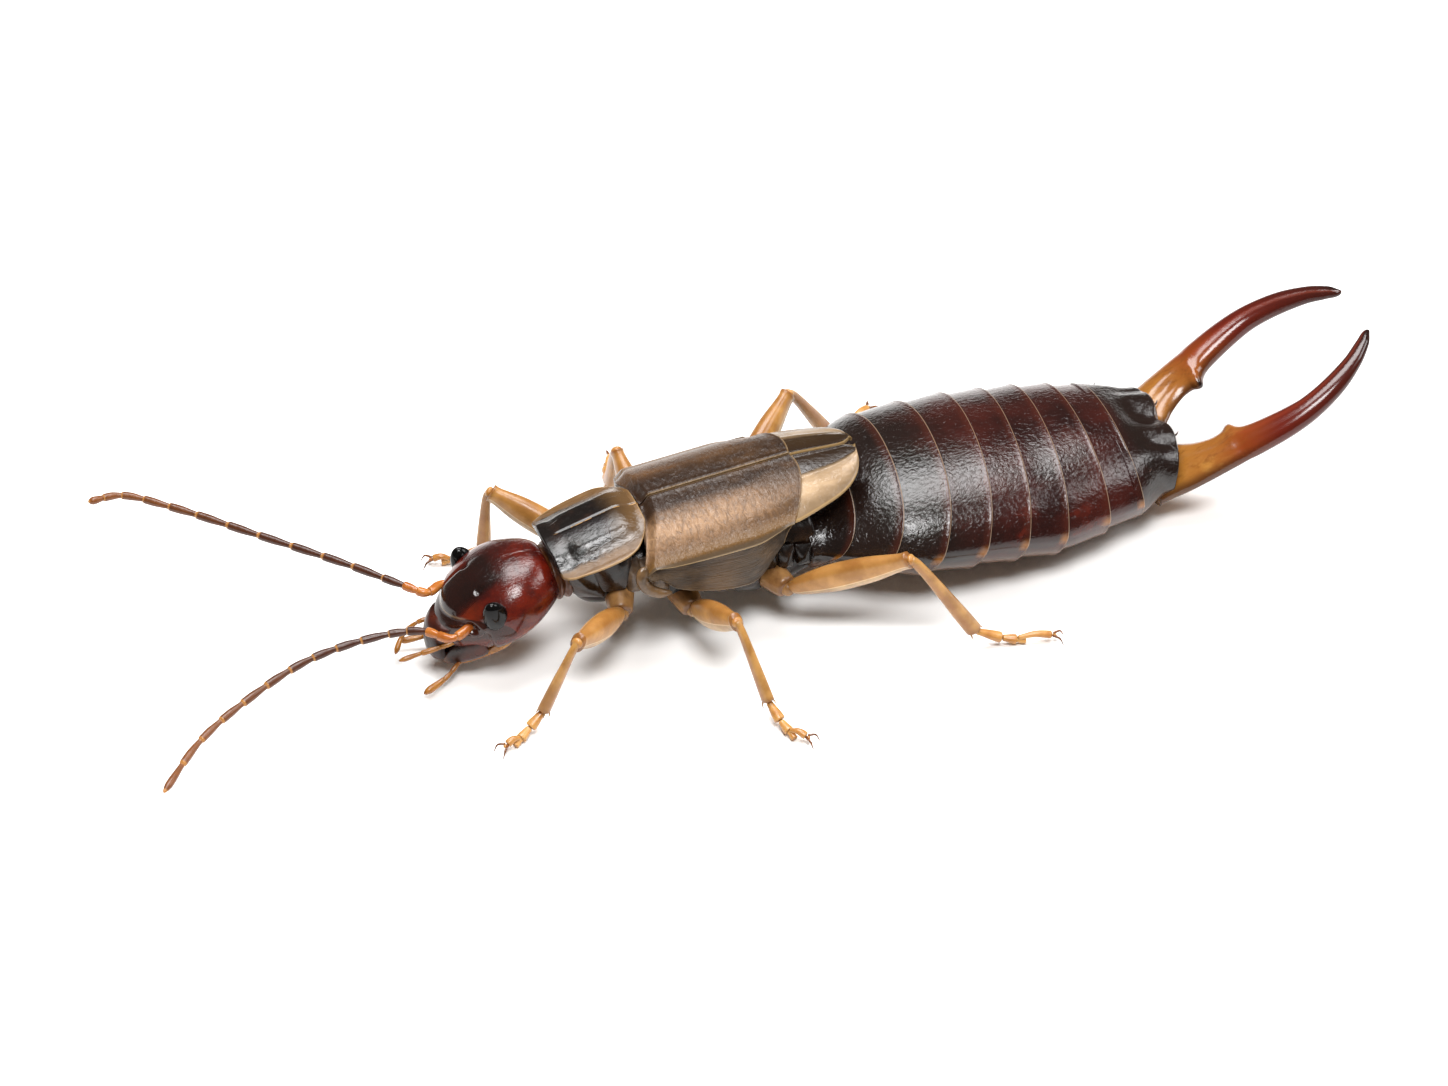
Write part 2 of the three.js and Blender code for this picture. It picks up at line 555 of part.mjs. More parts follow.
// Legs: the places of the joints from the body out to the claws
const LEGS = {
  fore_left: [[2.62, -0.4, 1.16], [2.46, -0.95, 1.0], [1.29, -2.0, 1.61], [0.64, -2.06, 0.34],
    [0.35, -2.17, 0.15], [0.12, -2.33, 0.1], [-0.14, -2.4, 0.13], [-0.27, -2.45, 0]],
  fore_right: [[2.62, 0.4, 1.16], [2.46, 0.95, 1.0], [1.2, 2.0, 1.74], [1.13, 2.2, 0.38],
    [0.84, 2.29, 0.16], [0.58, 2.36, 0.1], [0.3, 2.48, 0.13], [0.18, 2.5, 0]],
  mid_left: [[3.62, -0.5, 0.98], [3.72, -1.1, 0.82], [3.94, -2.52, 1.64], [4.24, -3.22, 0.34],
    [4.33, -3.55, 0.15], [4.39, -3.81, 0.1], [4.6, -4.04, 0.13], [4.7, -4.15, 0]],
  mid_right: [[3.62, 0.5, 0.98], [3.72, 1.1, 0.82], [3.64, 2.35, 1.62], [3.75, 3.0, 0.34],
    [3.85, 3.38, 0.15], [3.93, 3.63, 0.1], [4.1, 3.88, 0.13], [4.18, 4.0, 0]],
  hind_left: [[5.15, -0.7, 0.95], [5.36, -1.3, 0.93], [7.04, -2.6, 2.1], [8.15, -2.84, 0.34],
    [8.6, -2.98, 0.15], [8.84, -3.06, 0.1], [9.44, -3.2, 0.13], [9.6, -3.27, 0]],
  hind_right: [[5.15, 0.7, 0.95], [5.36, 1.3, 0.93], [6.93, 2.66, 1.64], [7.75, 2.95, 0.34],
    [8.15, 3.12, 0.15], [8.36, 3.24, 0.1], [8.76, 3.46, 0.13], [8.9, 3.54, 0]],
};

/** The direction in which two pieces of a leg face each other at their joint. */
function facing(before, joint, after) {
  const into = vec().subVectors(joint, before).normalize();
  const outOf = vec().subVectors(after, joint).normalize();
  return into.add(outOf).normalize();
}

function tarsus(joints, across, start) {
  const [ankle, first, lobe, toe, claw] = joints.slice(3);
  const size = (t) => {
    const nearJoint = Math.abs(t - 0.36) < 0.06 || Math.abs(t - 0.6) < 0.05;
    return lerp(FOOT_THICK, FOOT_END_THICK, t) * (nearJoint ? FOOT_WAIST : 1);
  };
  const path = [start, first, lobe, toe];
  const foot = limb({ path, across, width: size, depth: size, sides: 6, steps: 9 });
  const ahead = vec().subVectors(claw, toe).setZ(0).normalize();
  const flank = vec(-ahead.y, ahead.x, 0);
  const claws = SIDES.map(([, hand]) => {
    const bend = toe.clone().addScaledVector(ahead, 0.1).addScaledVector(flank, 0.09 * hand);
    const tip = claw.clone().addScaledVector(ahead, 0.04).addScaledVector(flank, 0.13 * hand).setZ(0.03);
    return spike(toe.clone().addScaledVector(ahead, -0.06), bend, tip, CLAW_THICK);
  });
  return standOnFloor(fuse(foot, ...claws));
}

for (const [name, points] of Object.entries(LEGS)) {
  const joints = points.map((point) => vec(...point));
  const [hip, trochanter, knee, ankle, first] = joints;
  const [pair] = name.split('_');
  const thigh = vec().subVectors(knee, trochanter);
  const across = thigh.cross(vec().subVectors(ankle, knee)).normalize();
  const atTrochanter = facing(hip, trochanter, knee);
  const atKnee = facing(trochanter, knee, ankle);
  const atAnkle = facing(knee, ankle, first);
  const before = (joint, normal) => joint.clone().addScaledVector(normal, -GAP / 2);
  const after = (joint, normal) => joint.clone().addScaledVector(normal, GAP / 2);

  const coxaSize = (t) => COXA_THICK * (1 - COXA_TAPER * t * t);
  const coxa = limb({
    path: [hip, before(trochanter, atTrochanter)],
    across,
    width: coxaSize,
    depth: coxaSize,
    steps: 4,
    endNormal: atTrochanter,
  });
  add(`${name}_coxa`, carve(coxa, chestKeepOut), LOOKS.amber);

  const [thin, thick] = FEMUR_THICK[pair];
  const swell = profile([[0, thick * 0.86], [0.35, thick], [0.8, thick * 0.9], [1, thick * 0.8]]);
  add(`${name}_femur`, limb({
    path: [after(trochanter, atTrochanter), before(knee, atKnee)],
    across,
    width: (t) => Math.max(thin, swell(t) * 0.85),
    depth: swell,
    startNormal: atTrochanter,
    endNormal: atKnee,
  }), LOOKS.amber);

  add(`${name}_tibia`, limb({
    path: [after(knee, atKnee), before(ankle, atAnkle)],
    across,
    width: (t) => SHIN_FLATNESS * lerp(SHIN_THICK, SHIN_END_THICK, t),
    depth: (t) => lerp(SHIN_THICK, SHIN_END_THICK, t),
    startNormal: atKnee,
    endNormal: atAnkle,
    steps: 5,
  }), LOOKS.amber);
  add(`${name}_tarsus`, tarsus(joints, across, after(ankle, atAnkle)), LOOKS.amber);
}

// The origin is the middle of the bounding box, on the floor
const box = new THREE.Box3().setFromObject(earwig);
const middle = box.getCenter(vec());
earwig.position.set(-middle.x, -middle.y, -box.min.z);
earwig.updateMatrixWorld(true);

export default earwig;
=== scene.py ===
import math

import bpy
import numpy as np
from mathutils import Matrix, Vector


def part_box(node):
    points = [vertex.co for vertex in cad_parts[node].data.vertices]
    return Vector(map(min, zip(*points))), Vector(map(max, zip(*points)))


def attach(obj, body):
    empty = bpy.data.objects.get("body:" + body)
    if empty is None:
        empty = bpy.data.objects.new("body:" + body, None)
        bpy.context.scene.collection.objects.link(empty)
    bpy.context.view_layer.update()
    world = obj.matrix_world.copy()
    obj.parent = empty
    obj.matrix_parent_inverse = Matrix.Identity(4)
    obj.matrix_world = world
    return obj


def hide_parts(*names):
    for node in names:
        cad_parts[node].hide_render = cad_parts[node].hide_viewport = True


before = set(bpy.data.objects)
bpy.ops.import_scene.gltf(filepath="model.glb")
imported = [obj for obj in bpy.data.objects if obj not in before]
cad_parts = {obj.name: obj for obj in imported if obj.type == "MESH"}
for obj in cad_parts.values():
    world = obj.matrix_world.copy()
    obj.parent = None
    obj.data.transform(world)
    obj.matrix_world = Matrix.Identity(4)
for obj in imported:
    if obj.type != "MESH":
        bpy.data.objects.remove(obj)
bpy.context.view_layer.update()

# A male common earwig, standing with its forceps open. The sizes of its pieces are in millimetres,
# in the body's own frame: the head points to -X, the animal's left side is -Y, the floor is z = 0.

MM = 0.001

# Where the pronotum's front edge lies in the body's own frame
PRONOTUM_FRONT = 1.5


def body_offset():
    """How far the body's own frame is moved in the part's frame, from where the pronotum lies."""
    low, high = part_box("pronotum")
    return np.array([low.x / MM - PRONOTUM_FRONT, (low.y + high.y) / 2 / MM, 0.0])


OFFSET = body_offset()
SIDES = (("left", -1), ("right", 1))


# Numbers and curves

# How much of its size a round end keeps at its tip, a curve's steps between two points, and nearly zero
BLUNT_END = 0.02
CURVE_STEPS = 16
TINY = 1e-12


def lerp(a, b, t):
    return a + (b - a) * t


def clamp(x, low=0.0, high=1.0):
    return np.clip(x, low, high)


def ease(x, start, end):
    """0 before start, 1 after end, and smooth in between."""
    t = clamp((x - start) / (end - start))
    return t * t * (3 - 2 * t)


def fall(x, start, end):
    """1 before start, 0 after end, and smooth in between."""
    return ease(-x, -end, -start)


def hump(x, middle, reach):
    """1 at the middle, fading to almost nothing two reaches from it."""
    return np.exp(-(((x - middle) / reach) ** 2))


def unit(v):
    return v / np.maximum(np.linalg.norm(v, axis=-1, keepdims=True), TINY)


def profile(*stops):
    """A smooth function through a few (at, value) stops, level beyond its two ends."""
    at, value = np.array(stops, float).T
    slope = np.zeros(len(at))
    slope[1:-1] = (value[2:] - value[:-2]) / (at[2:] - at[:-2])

    def read(x):
        x = np.clip(x, at[0], at[-1])
        i = np.clip(np.searchsorted(at, x, side="right") - 1, 0, len(at) - 2)
        span = at[i + 1] - at[i]
        t = (x - at[i]) / span
        rise = value[i + 1] - value[i]
        curve = slope[i] * span * (1 - t) - slope[i + 1] * span * t + rise * (2 * t - 1)
        return value[i] + rise * t + t * (1 - t) * curve

    return read


def squared(side, up, power):
    """Moves a point of the unit circle out to a squarer ring: 2 is a circle, more is squarer."""
    size = (np.abs(side) ** power + np.abs(up) ** power) ** (-1 / power)
    return side * size, up * size


def rounded(t, start, end):
    """The size of a body along t whose first and last parts are round ends of those lengths."""
    size = np.ones_like(t)
    for reach, length in ((t, start), (1 - t, end)):
        if length:
            size = size * np.sqrt(clamp(1 - clamp(1 - reach / length) ** 2, BLUNT_END**2, 1))
    return size


def line_through(points, count):
    """Evenly spaced places on a smooth line through the points, and the line's directions there."""
    points = np.array(points, float)
    if len(points) > 2:
        ends = [2 * points[0] - points[1]], [2 * points[-1] - points[-2]]
        knots = np.concatenate([ends[0], points, ends[1]])
        dense = [points[:1]]
        for p0, p1, p2, p3 in zip(knots, knots[1:], knots[2:], knots[3:]):
            t = np.linspace(0, 1, CURVE_STEPS + 1)[1:, None]
            spans = [np.sqrt(np.linalg.norm(b - a)) for a, b in ((p0, p1), (p1, p2), (p2, p3))]
            out = (p1 - p0) / spans[0] - (p2 - p0) / (spans[0] + spans[1]) + (p2 - p1) / spans[1]
            into = (p2 - p1) / spans[1] - (p3 - p1) / (spans[1] + spans[2]) + (p3 - p2) / spans[2]
            m1, m2 = out * spans[1], into * spans[1]
            dense.append((2 * t**3 - 3 * t**2 + 1) * p1 + (t**3 - 2 * t**2 + t) * m1
                         + (3 * t**2 - 2 * t**3) * p2 + (t**3 - t**2) * m2)
        points = np.concatenate(dense)
    run = np.concatenate([[0], np.cumsum(np.linalg.norm(np.diff(points, axis=0), axis=1))])
    at = np.linspace(0, run[-1], count)
    placed = np.stack([np.interp(at, run, points[:, k]) for k in range(3)], axis=1)
    return placed, unit(np.gradient(placed, axis=0))


# Meshes

class Shape:
    """Points, faces and each point's place on the form, gathered until they become one mesh."""

    def __init__(self):
        self.points, self.faces, self.forms, self.finishes = [], [], [], []
        self.count = 0

    def surface(self, points, form, finish=0):
        """A closed body from a net of rings; the first and last ring are capped."""
        rings, sides = points.shape[:2]
        index = self.count + np.arange(rings * sides).reshape(rings, sides)
        around = np.roll(index, -1, axis=1)
        quads = np.stack([index[:-1], around[:-1], around[1:], index[1:]], axis=-1).reshape(-1, 4)
        first, last = self.count + rings * sides, self.count + rings * sides + 1
        caps = [(first, b, a) for a, b in zip(index[0], around[0])]
        caps += [(last, a, b) for a, b in zip(index[-1], around[-1])]
        flat = np.concatenate([points.reshape(-1, 3), points[[0, -1]].mean(axis=1)])
        a, b, c = (flat[quads[:, k] - self.count] - flat.mean(axis=0) for k in (0, 1, 2))
        if np.einsum("ij,ij->", a, np.cross(b, c)) < 0:
            quads = quads[:, ::-1]
            caps = [face[::-1] for face in caps]
        self.points.append(flat)
        self.forms.append(np.concatenate([form.reshape(-1, 3), form[[0, -1]].mean(axis=1)]))
        self.faces += quads.tolist() + [list(map(int, face)) for face in caps]
        self.finishes += [finish] * (len(quads) + len(caps))
        self.count += len(flat)
        return self

    def make(self, name, finishes, slot, *nodes):
        """One smooth mesh that stands for the named solids."""
        mesh = bpy.data.meshes.new(name)
        points = (np.concatenate(self.points) + OFFSET) * MM
        mesh.from_pydata(points.tolist(), [], self.faces)
        form = mesh.attributes.new("form", "FLOAT_VECTOR", "POINT")
        form.data.foreach_set("vector", np.concatenate(self.forms).astype(np.float32).ravel())
        mesh.polygons.foreach_set("material_index", self.finishes)
        mesh.polygons.foreach_set("use_smooth", [True] * len(self.faces))
        for finish in finishes:
            mesh.materials.append(finish)
        piece = bpy.data.objects.new(name, mesh)
        bpy.context.scene.collection.objects.link(piece)
        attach(piece, "root")
        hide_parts(*nodes)


def spread(at):
    """The x, the y and the z of an array of places."""
    return tuple(np.moveaxis(at, -1, 0))


def net(rings, sides, place):
    """A ring of points at each t of rings, from place(t, side, up), with (side, up) on the unit circle.

    place gives x, y and z, and after them the form's three values where it has its own.
    """
    angle = np.linspace(0, 2 * np.pi, sides, endpoint=False)
    t, angle = np.meshgrid(rings, angle, indexing="ij")
    side, up = np.sin(angle), np.cos(angle)
    values = np.broadcast_arrays(*place(t, side, up))
    return np.stack(values[:3], axis=-1), np.stack(values[3:] or (t, side, up), axis=-1)


def even_spacing(count):
    return np.linspace(0, 1, count)


def cosine_spacing(count):
    """From 0 to 1, closer together at both ends."""
    return 0.5 - 0.5 * np.cos(np.linspace(0, np.pi, count))


def limb(shape, path, across, width, depth, rings=40, sides=28, power=2.0, finish=0):
    """A limb piece along a path; width(t) and depth(t) are its full sizes."""
    centre, along = line_through(path, rings)
    wide = unit(across - along * (along @ np.asarray(across, float))[:, None])
    deep = np.cross(along, wide)

    def place(t, side, up):
        row = np.rint(t * (rings - 1)).astype(int)
        s, u = squared(side, up, power)
        at = (centre[row] + wide[row] * (0.5 * width(t) * s)[..., None]
              + deep[row] * (0.5 * depth(t) * u)[..., None])
        return spread(at)

    shape.surface(*net(even_spacing(rings), sides, place), finish)


def ball(shape, centre, radii, axes, rings=24, sides=32, finish=0):
    """An egg-shaped body with three radii along three axes; its poles lie on the first axis."""
    centre, axes = np.asarray(centre, float), [np.asarray(axis, float) for axis in axes]

    def place(t, side, up):
        reach = np.sin(t * np.pi)
        at = (centre + axes[0] * (radii[0] * np.cos(t * np.pi))[..., None]
              + axes[1] * (radii[1] * reach * side)[..., None]
              + axes[2] * (radii[2] * reach * up)[..., None])
        return spread(at)

    shape.surface(*net(np.linspace(0.01, 0.99, rings), sides, place), finish)


def spike(shape, path, thick, finish=0, sides=8, rings=9, tip=0.12):
    """A thin curved spike, such as a claw, a spur or a hair."""
    path = np.array(path, float)
    bend = np.cross(path[1] - path[0], path[-1] - path[0])
    across = unit(bend) if np.linalg.norm(bend) > TINY else np.array([0.0, 0.36, 0.93])

    def size(t):
        return thick * lerp(1, tip, t**1.3)

    limb(shape, path, across, size, size, rings, sides, 2.0, finish)


# Shaders

def paint(code):
    """A colour as the shader wants it, from its usual screen code."""
    channels = (int(code[k:k + 2], 16) / 255 for k in (1, 3, 5))
    return (*(c / 12.92 if c <= 0.04045 else ((c + 0.055) / 1.055) ** 2.4 for c in channels), 1)


class Wire:
    """A shader socket that arithmetic can be written on. Each operation adds one Math node."""

    def __init__(self, finish, socket):
        self.finish, self.socket = finish, socket

    def _math(self, operation, *values):
        settings = {"operation": operation}
        return self.finish.node("ShaderNodeMath", settings, dict(enumerate(values)))

    def __add__(self, other):
        return self._math("ADD", self, other)

    def __sub__(self, other):
        return self._math("SUBTRACT", self, other)

    def __rsub__(self, other):
        return self._math("SUBTRACT", other, self)

    def __mul__(self, other):
        return self._math("MULTIPLY", self, other)

    def __abs__(self):
        return self._math("ABSOLUTE", self)

    __radd__ = __add__
    __rmul__ = __mul__

    def least(self, other):
        return self._math("MINIMUM", self, other)

    def most(self, other):
        return self._math("MAXIMUM", self, other)

    def rise(self, start, end):
        """0 before start, 1 after end, and smooth in between; start may be the larger."""
        if start > end:
            return 1 - self.rise(end, start)
        return self.finish.node("ShaderNodeMapRange", {"interpolation_type": "SMOOTHSTEP"},
                                {"Value": self, "From Min": start, "From Max": end})

    def hump(self, middle, reach):
        """1 at the middle and 0 further from it than reach."""
        return abs(self - middle).rise(reach, 0.0)


class Finish:
    """One material, with its shader and the few ways in which its patterns are made."""

    def __init__(self, name, **fixed):
        self.material = bpy.data.materials.new(name)
        self.material.use_nodes = True
        self.tree = self.material.node_tree
        self.shader = self.tree.nodes["Principled BSDF"]
        for socket, value in fixed.items():
            self.shader.inputs[socket.replace("_", " ")].default_value = value
        self.place = self.node("ShaderNodeTexCoord", output="Object")
        self.form = self.node("ShaderNodeAttribute", {"attribute_name": "form"}, output="Vector")

    def node(self, kind, settings=None, inputs=None, output=0):
        made = self.tree.nodes.new(kind)
        for key, value in (settings or {}).items():
            if key == "stops":
                self._stops(made.color_ramp, value)
            else:
                setattr(made, key, value)
        for key, value in (inputs or {}).items():
            self.feed(made.inputs[key], value)
        return Wire(self, made.outputs[output])

    def feed(self, socket, value):
        """Links a wire to a socket, or sets the socket to a number, a vector or a colour's code."""
        if isinstance(value, Wire):
            self.tree.links.new(value.socket, socket)
        else:
            socket.default_value = paint(value) if isinstance(value, str) else value

    @staticmethod
    def _stops(ramp, stops):
        while len(ramp.elements) < len(stops):
            ramp.elements.new(0.5)
        for element, (at, code) in zip(ramp.elements, stops):
            element.position, element.color = at, paint(code)

    def parts(self, vector):
        split = self.node("ShaderNodeSeparateXYZ", inputs={0: vector})
        return [Wire(self, split.socket.node.outputs[k]) for k in range(3)]

    def scaled(self, vector, x, y, z):
        return self.node("ShaderNodeVectorMath", {"operation": "MULTIPLY"}, {0: vector, 1: (x, y, z)})

    def in_millimetres(self, stretch=(1, 1, 1)):
        """The place on the body in millimetres, stretched along x, y and z."""
        return self.scaled(self.place, *(k / MM for k in stretch))

    def noise(self, scale, detail=3.0, rough=0.5, stretch=(1, 1, 1), vector=None, distortion=0.0):
        """Noise from 0 to 1, with this many blots to the millimetre."""
        vector = self.in_millimetres(stretch) if vector is None else self.scaled(vector, *stretch)
        return self.node("ShaderNodeTexNoise", {"noise_dimensions": "3D"},
                         {"Vector": vector, "Scale": scale, "Detail": detail, "Roughness": rough,
                          "Distortion": distortion})

    def cells(self, scale):
        """How far each place is from the nearest of many scattered points."""
        inputs = {"Vector": self.in_millimetres(), "Scale": scale}
        return self.node("ShaderNodeTexVoronoi", inputs=inputs)

    def mix(self, factor, a, b):
        """Colour a where factor is 0, and colour b where it is 1."""
        mixer = self.node("ShaderNodeMix", {"data_type": "RGBA"}, output=2)
        node = mixer.socket.node
        for socket, value in ((node.inputs[0], factor), (node.inputs[6], a), (node.inputs[7], b)):
            self.feed(socket, value)
        return mixer

    def ramp(self, value, *stops):
        return self.node("ShaderNodeValToRGB", {"stops": stops}, {"Fac": value})

    def bump(self, height, distance, strength=1.0, under=None):
        """A relief of that many millimetres."""
        inputs = {"Height": height, "Distance": distance * MM, "Strength": strength}
        if under is not None:
            inputs["Normal"] = under
        return self.node("ShaderNodeBump", inputs=inputs)

    def done(self, colour, roughness, normal=None):
        self.feed(self.shader.inputs["Base Color"], colour)
        self.feed(self.shader.inputs["Roughness"], roughness)
        if normal is not None:
            self.feed(self.shader.inputs["Normal"], normal)
        return self.material


# Finishes

# Where a wing case folds down, as a share of the way from the seam to its lower edge
FOLD = 0.58
# The step across the face: how far ahead it lies in the middle, and how much it curves back
FACE_EDGE, FACE_CURVE = 1.235, 0.9

BLACK_BROWN = "#120a08"
DEEP_MAROON = "#2e0907"
RED_BROWN = "#561408"
RUST = "#833a10"
AMBER = "#99652f"
DARK_AMBER = "#6e401a"
HONEY = "#b98a4c"
PALE_HORN = "#cfae84"
CREAM = "#e6cfa4"
SMOKE = "#4a403a"


def clear_cuticle(name, shine, share, depths):
    """A finish that a share of the light sinks into: red, green and blue as deep as these millimetres."""
    return Finish(name, Specular_IOR_Level=shine, Subsurface_Weight=share, Subsurface_Scale=1.0,
                  Subsurface_Radius=tuple(depth * MM for depth in depths))


def head_finish():
    """Its form is ahead, aside and above in the head's own frame, in millimetres."""
    f = clear_cuticle("head_cuticle", 0.4, 0.05, (0.35, 0.08, 0.03))
    ahead, aside, above = f.parts(f.form)
    wide = abs(aside)
    clouds = f.noise(1.6, 4.0, 0.6)
    fine = f.noise(9.0, 3.0, 0.6)
    red = f.mix(clouds.rise(0.35, 0.68), DEEP_MAROON, RED_BROWN)
    cheek = above.rise(0.5, 0.05) * ahead.rise(0.75, 0.2) * wide.rise(0.6, 0.95)
    red = f.mix(cheek * f.noise(2.4, 2.0, stretch=(1, 1, 2.4)).rise(0.45, 0.7) * 0.4, red, RUST)
    front = ahead.rise(0.55, 0.85) * wide.rise(0.3, 0.5) * above.rise(-0.35, 0.1)
    red = f.mix(front * 0.12, red, RUST)
    lobe = wide.rise(0.52, 0.3) * ahead.rise(-0.1, 0.6)
    crown = lobe + (above.rise(0.62, 0.74) * ahead.rise(-0.5, 0.1) * 0.5)
    dark = f.mix(crown.least(1.0) * (0.8 + 0.2 * clouds), red, BLACK_BROWN)
    rim = ahead + FACE_CURVE * aside * aside
    beyond = rim.rise(FACE_EDGE, FACE_EDGE + 0.015) * above.rise(-0.1, 0.05)
    dark = f.mix(beyond * 0.85, dark, "#24100b")
    line = rim.hump(FACE_EDGE, 0.022) * above.rise(0.0, 0.15)
    colour = f.mix(line * wide.rise(0.62, 0.4) * 0.18, dark, PALE_HORN)
    under = above.rise(-0.1, -0.5)
    colour = f.mix(under * 0.6, colour, "#6d4630")
    wrinkles = f.noise(8.0, 3.0, 0.55, (1, 2.2, 1), distortion=1.2)
    crinkled = above.rise(0.1, 0.4) * ahead.rise(1.0, 0.3)
    relief = wrinkles * (crinkled * 0.9 + 0.06)
    return f.done(colour, 0.13 + 0.1 * fine, f.bump(relief, 0.008, 0.8))


def eye_finish():
    f = Finish("eye_facets", Specular_IOR_Level=0.2)
    facets = f.cells(34.0)
    tone = f.mix(f.noise(2.0), "#040404", "#0b0a0a")
    return f.done(tone, 0.12, f.bump(facets, 0.001, 0.3))


def mouth_finish():
    f = Finish("mouth_cuticle", Specular_IOR_Level=0.35)
    colour = f.mix(f.noise(2.2, 3.0).rise(0.35, 0.7), "#1c0a06", "#42170b")
    edge = f.parts(f.form)[0].rise(0.82, 0.97)
    colour = f.mix(edge * 0.55, colour, DARK_AMBER)
    return f.done(colour, 0.24 + 0.1 * f.noise(7.0), f.bump(f.noise(9.0), 0.012, 0.7))


def amber_finish(name="amber_cuticle", light=HONEY, mid=AMBER, dark=DARK_AMBER, gloss=0.24):
    f = clear_cuticle(name, 0.5, 0.1, (0.25, 0.12, 0.04))
    along = f.parts(f.form)[0]
    clouds = f.noise(2.6, 4.0, 0.55, (1, 1, 1.6))
    colour = f.mix(clouds.rise(0.3, 0.7), mid, light)
    blots = f.noise(4.5, 3.0, 0.7).rise(0.62, 0.78) * 0.5
    colour = f.mix(blots, colour, dark)
    ends = along.hump(0.0, 0.09).most(along.hump(1.0, 0.08))
    colour = f.mix(ends * 0.65, colour, dark)
    grain = f.noise(16.0, 2.0, 0.6, (1, 1, 2.5))
    return f.done(colour, gloss + 0.1 * clouds, f.bump(grain, 0.005, 0.5))


def femur_finish():
    """Golden above and paler below, with a pale line between and a fine felt of dark dashes."""
    f = clear_cuticle("femur_cuticle", 0.45, 0.1, (0.25, 0.12, 0.05))
    along, _, up = f.parts(f.form)
    clouds = f.noise(2.4, 4.0, 0.55)
    above = f.mix(clouds.rise(0.3, 0.7), "#966730", "#bc8a4a")
    below = f.mix(clouds.rise(0.3, 0.7), "#937350", "#b99a72")
    colour = f.mix(up.rise(-0.05, -0.3), above, below)
    colour = f.mix(up.hump(-0.16, 0.07) * 0.6, colour, CREAM)
    dashes = f.noise(13.0, 3.0, 0.75, (0.6, 1, 1.7)).rise(0.56, 0.7)
    colour = f.mix(dashes * up.rise(0.5, -0.5) * 0.42, colour, SMOKE)
    # Painted rim shade: darker along the top edge of the thigh
    colour = f.mix(up.rise(0.45, 0.95) * 0.4, colour, DARK_AMBER)
    ends = along.hump(0.0, 0.07).most(along.hump(1.0, 0.05))
    colour = f.mix(ends * 0.75, colour, DARK_AMBER)
    return f.done(colour, 0.26 + 0.12 * clouds, f.bump(f.noise(18.0, 2.0), 0.006, 0.5))


def shin_finish():
    f = clear_cuticle("shin_cuticle", 0.45, 0.1, (0.25, 0.12, 0.05))
    along, side, _ = f.parts(f.form)
    clouds = f.noise(2.6, 4.0, 0.55)
    colour = f.mix(clouds.rise(0.32, 0.68), "#8a5f2c", "#aa7e44")
    # Painted rim shade: darker towards both sides of the shin
    painted_rim_shade = abs(side).rise(0.72, 1.0)
    colour = f.mix(painted_rim_shade * 0.5, colour, "#8a5220")
    blots = f.noise(3.4, 3.0, 0.7, (1, 1, 0.6)).rise(0.58, 0.72)
    colour = f.mix(blots * 0.4, colour, "#7d5a2c")
    colour = f.mix(along.rise(0.9, 1.0) * 0.6, colour, DARK_AMBER)
    return f.done(colour, 0.26 + 0.1 * clouds, f.bump(f.noise(15.0, 2.0), 0.005, 0.5))


def feeler_finish():
    """Its form's first value is the share along a segment, and its second the share along the feeler."""
    f = clear_cuticle("feeler_cuticle", 0.4, 0.04, (0.15, 0.07, 0.03))
    along, outwards, _ = f.parts(f.form)
    streaks = f.noise(7.0, 3.0, 0.6)
    dark = f.mix(streaks, "#2a120a", "#4a2514")
    light = f.mix(streaks, "#5a3217", "#7e4b24")
    brown = f.mix(outwards.rise(0.45, 1.0), dark, light)
    rings = along.rise(0.1, 0.03).most(along.rise(0.88, 0.94))
    return f.done(f.mix(rings, brown, "#a8743c"), 0.3, f.bump(f.noise(22.0, 2.0), 0.006, 0.6))


def pronotum_finish():
    """Its form is how far back, how far from the middle and how far in from the edge, in mm."""
    f = Finish("pronotum_cuticle", Specular_IOR_Level=0.45)
    back, aside, inwards = f.parts(f.form)
    wide = abs(aside)
    ragged = 0.09 * (f.noise(3.2, 4.0, 0.65) - 0.5)
    disc = wide + ragged * 2
    black = f.mix(f.noise(3.0, 3.0).rise(0.5, 0.75), "#0d0807", "#241610")
    margin = f.mix(f.noise(4.0, 4.0, 0.6), "#432c15", "#775730")
    edge_zone = disc.rise(0.66, 0.76).most((back + ragged * 2).rise(1.5, 1.58))
    shade = disc.rise(0.5, 0.7) * back.rise(0.5, 1.2)
    rear = (back + 0.25 * wide + ragged * 3).rise(0.95, 1.5)
    colour = f.mix(shade.most(rear) * 0.75, black, "#5e4529")
    colour = f.mix(edge_zone, colour, margin)
    colour = f.mix(inwards.rise(0.035, 0.01) * back.rise(0.04, 0.12) * 0.7, colour, "#9c7c50")
    middle = wide.rise(0.01, 0.003) * f.noise(6.0, 2.0, stretch=(1, 0.2, 0.2)).rise(0.44, 0.56)
    colour = f.mix(middle * back.rise(0.08, 0.25) * 0.7, colour, HONEY)
    dots = f.cells(7.0).rise(0.1, 0.03) * f.noise(1.4).rise(0.5, 0.6)
    colour = f.mix(dots * 0.6, colour, "#0b0706")
    crinkle = f.noise(7.0, 4.0, 0.6, (1, 1.6, 1), distortion=0.8)
    relief = crinkle * disc.rise(0.02, 0.25) * 0.6 - dots * 0.4
    gloss = 0.17 + 0.08 * f.noise(2.0, 2.0)
    return f.done(colour, gloss + 0.16 * edge_zone, f.bump(relief, 0.02, 0.8))


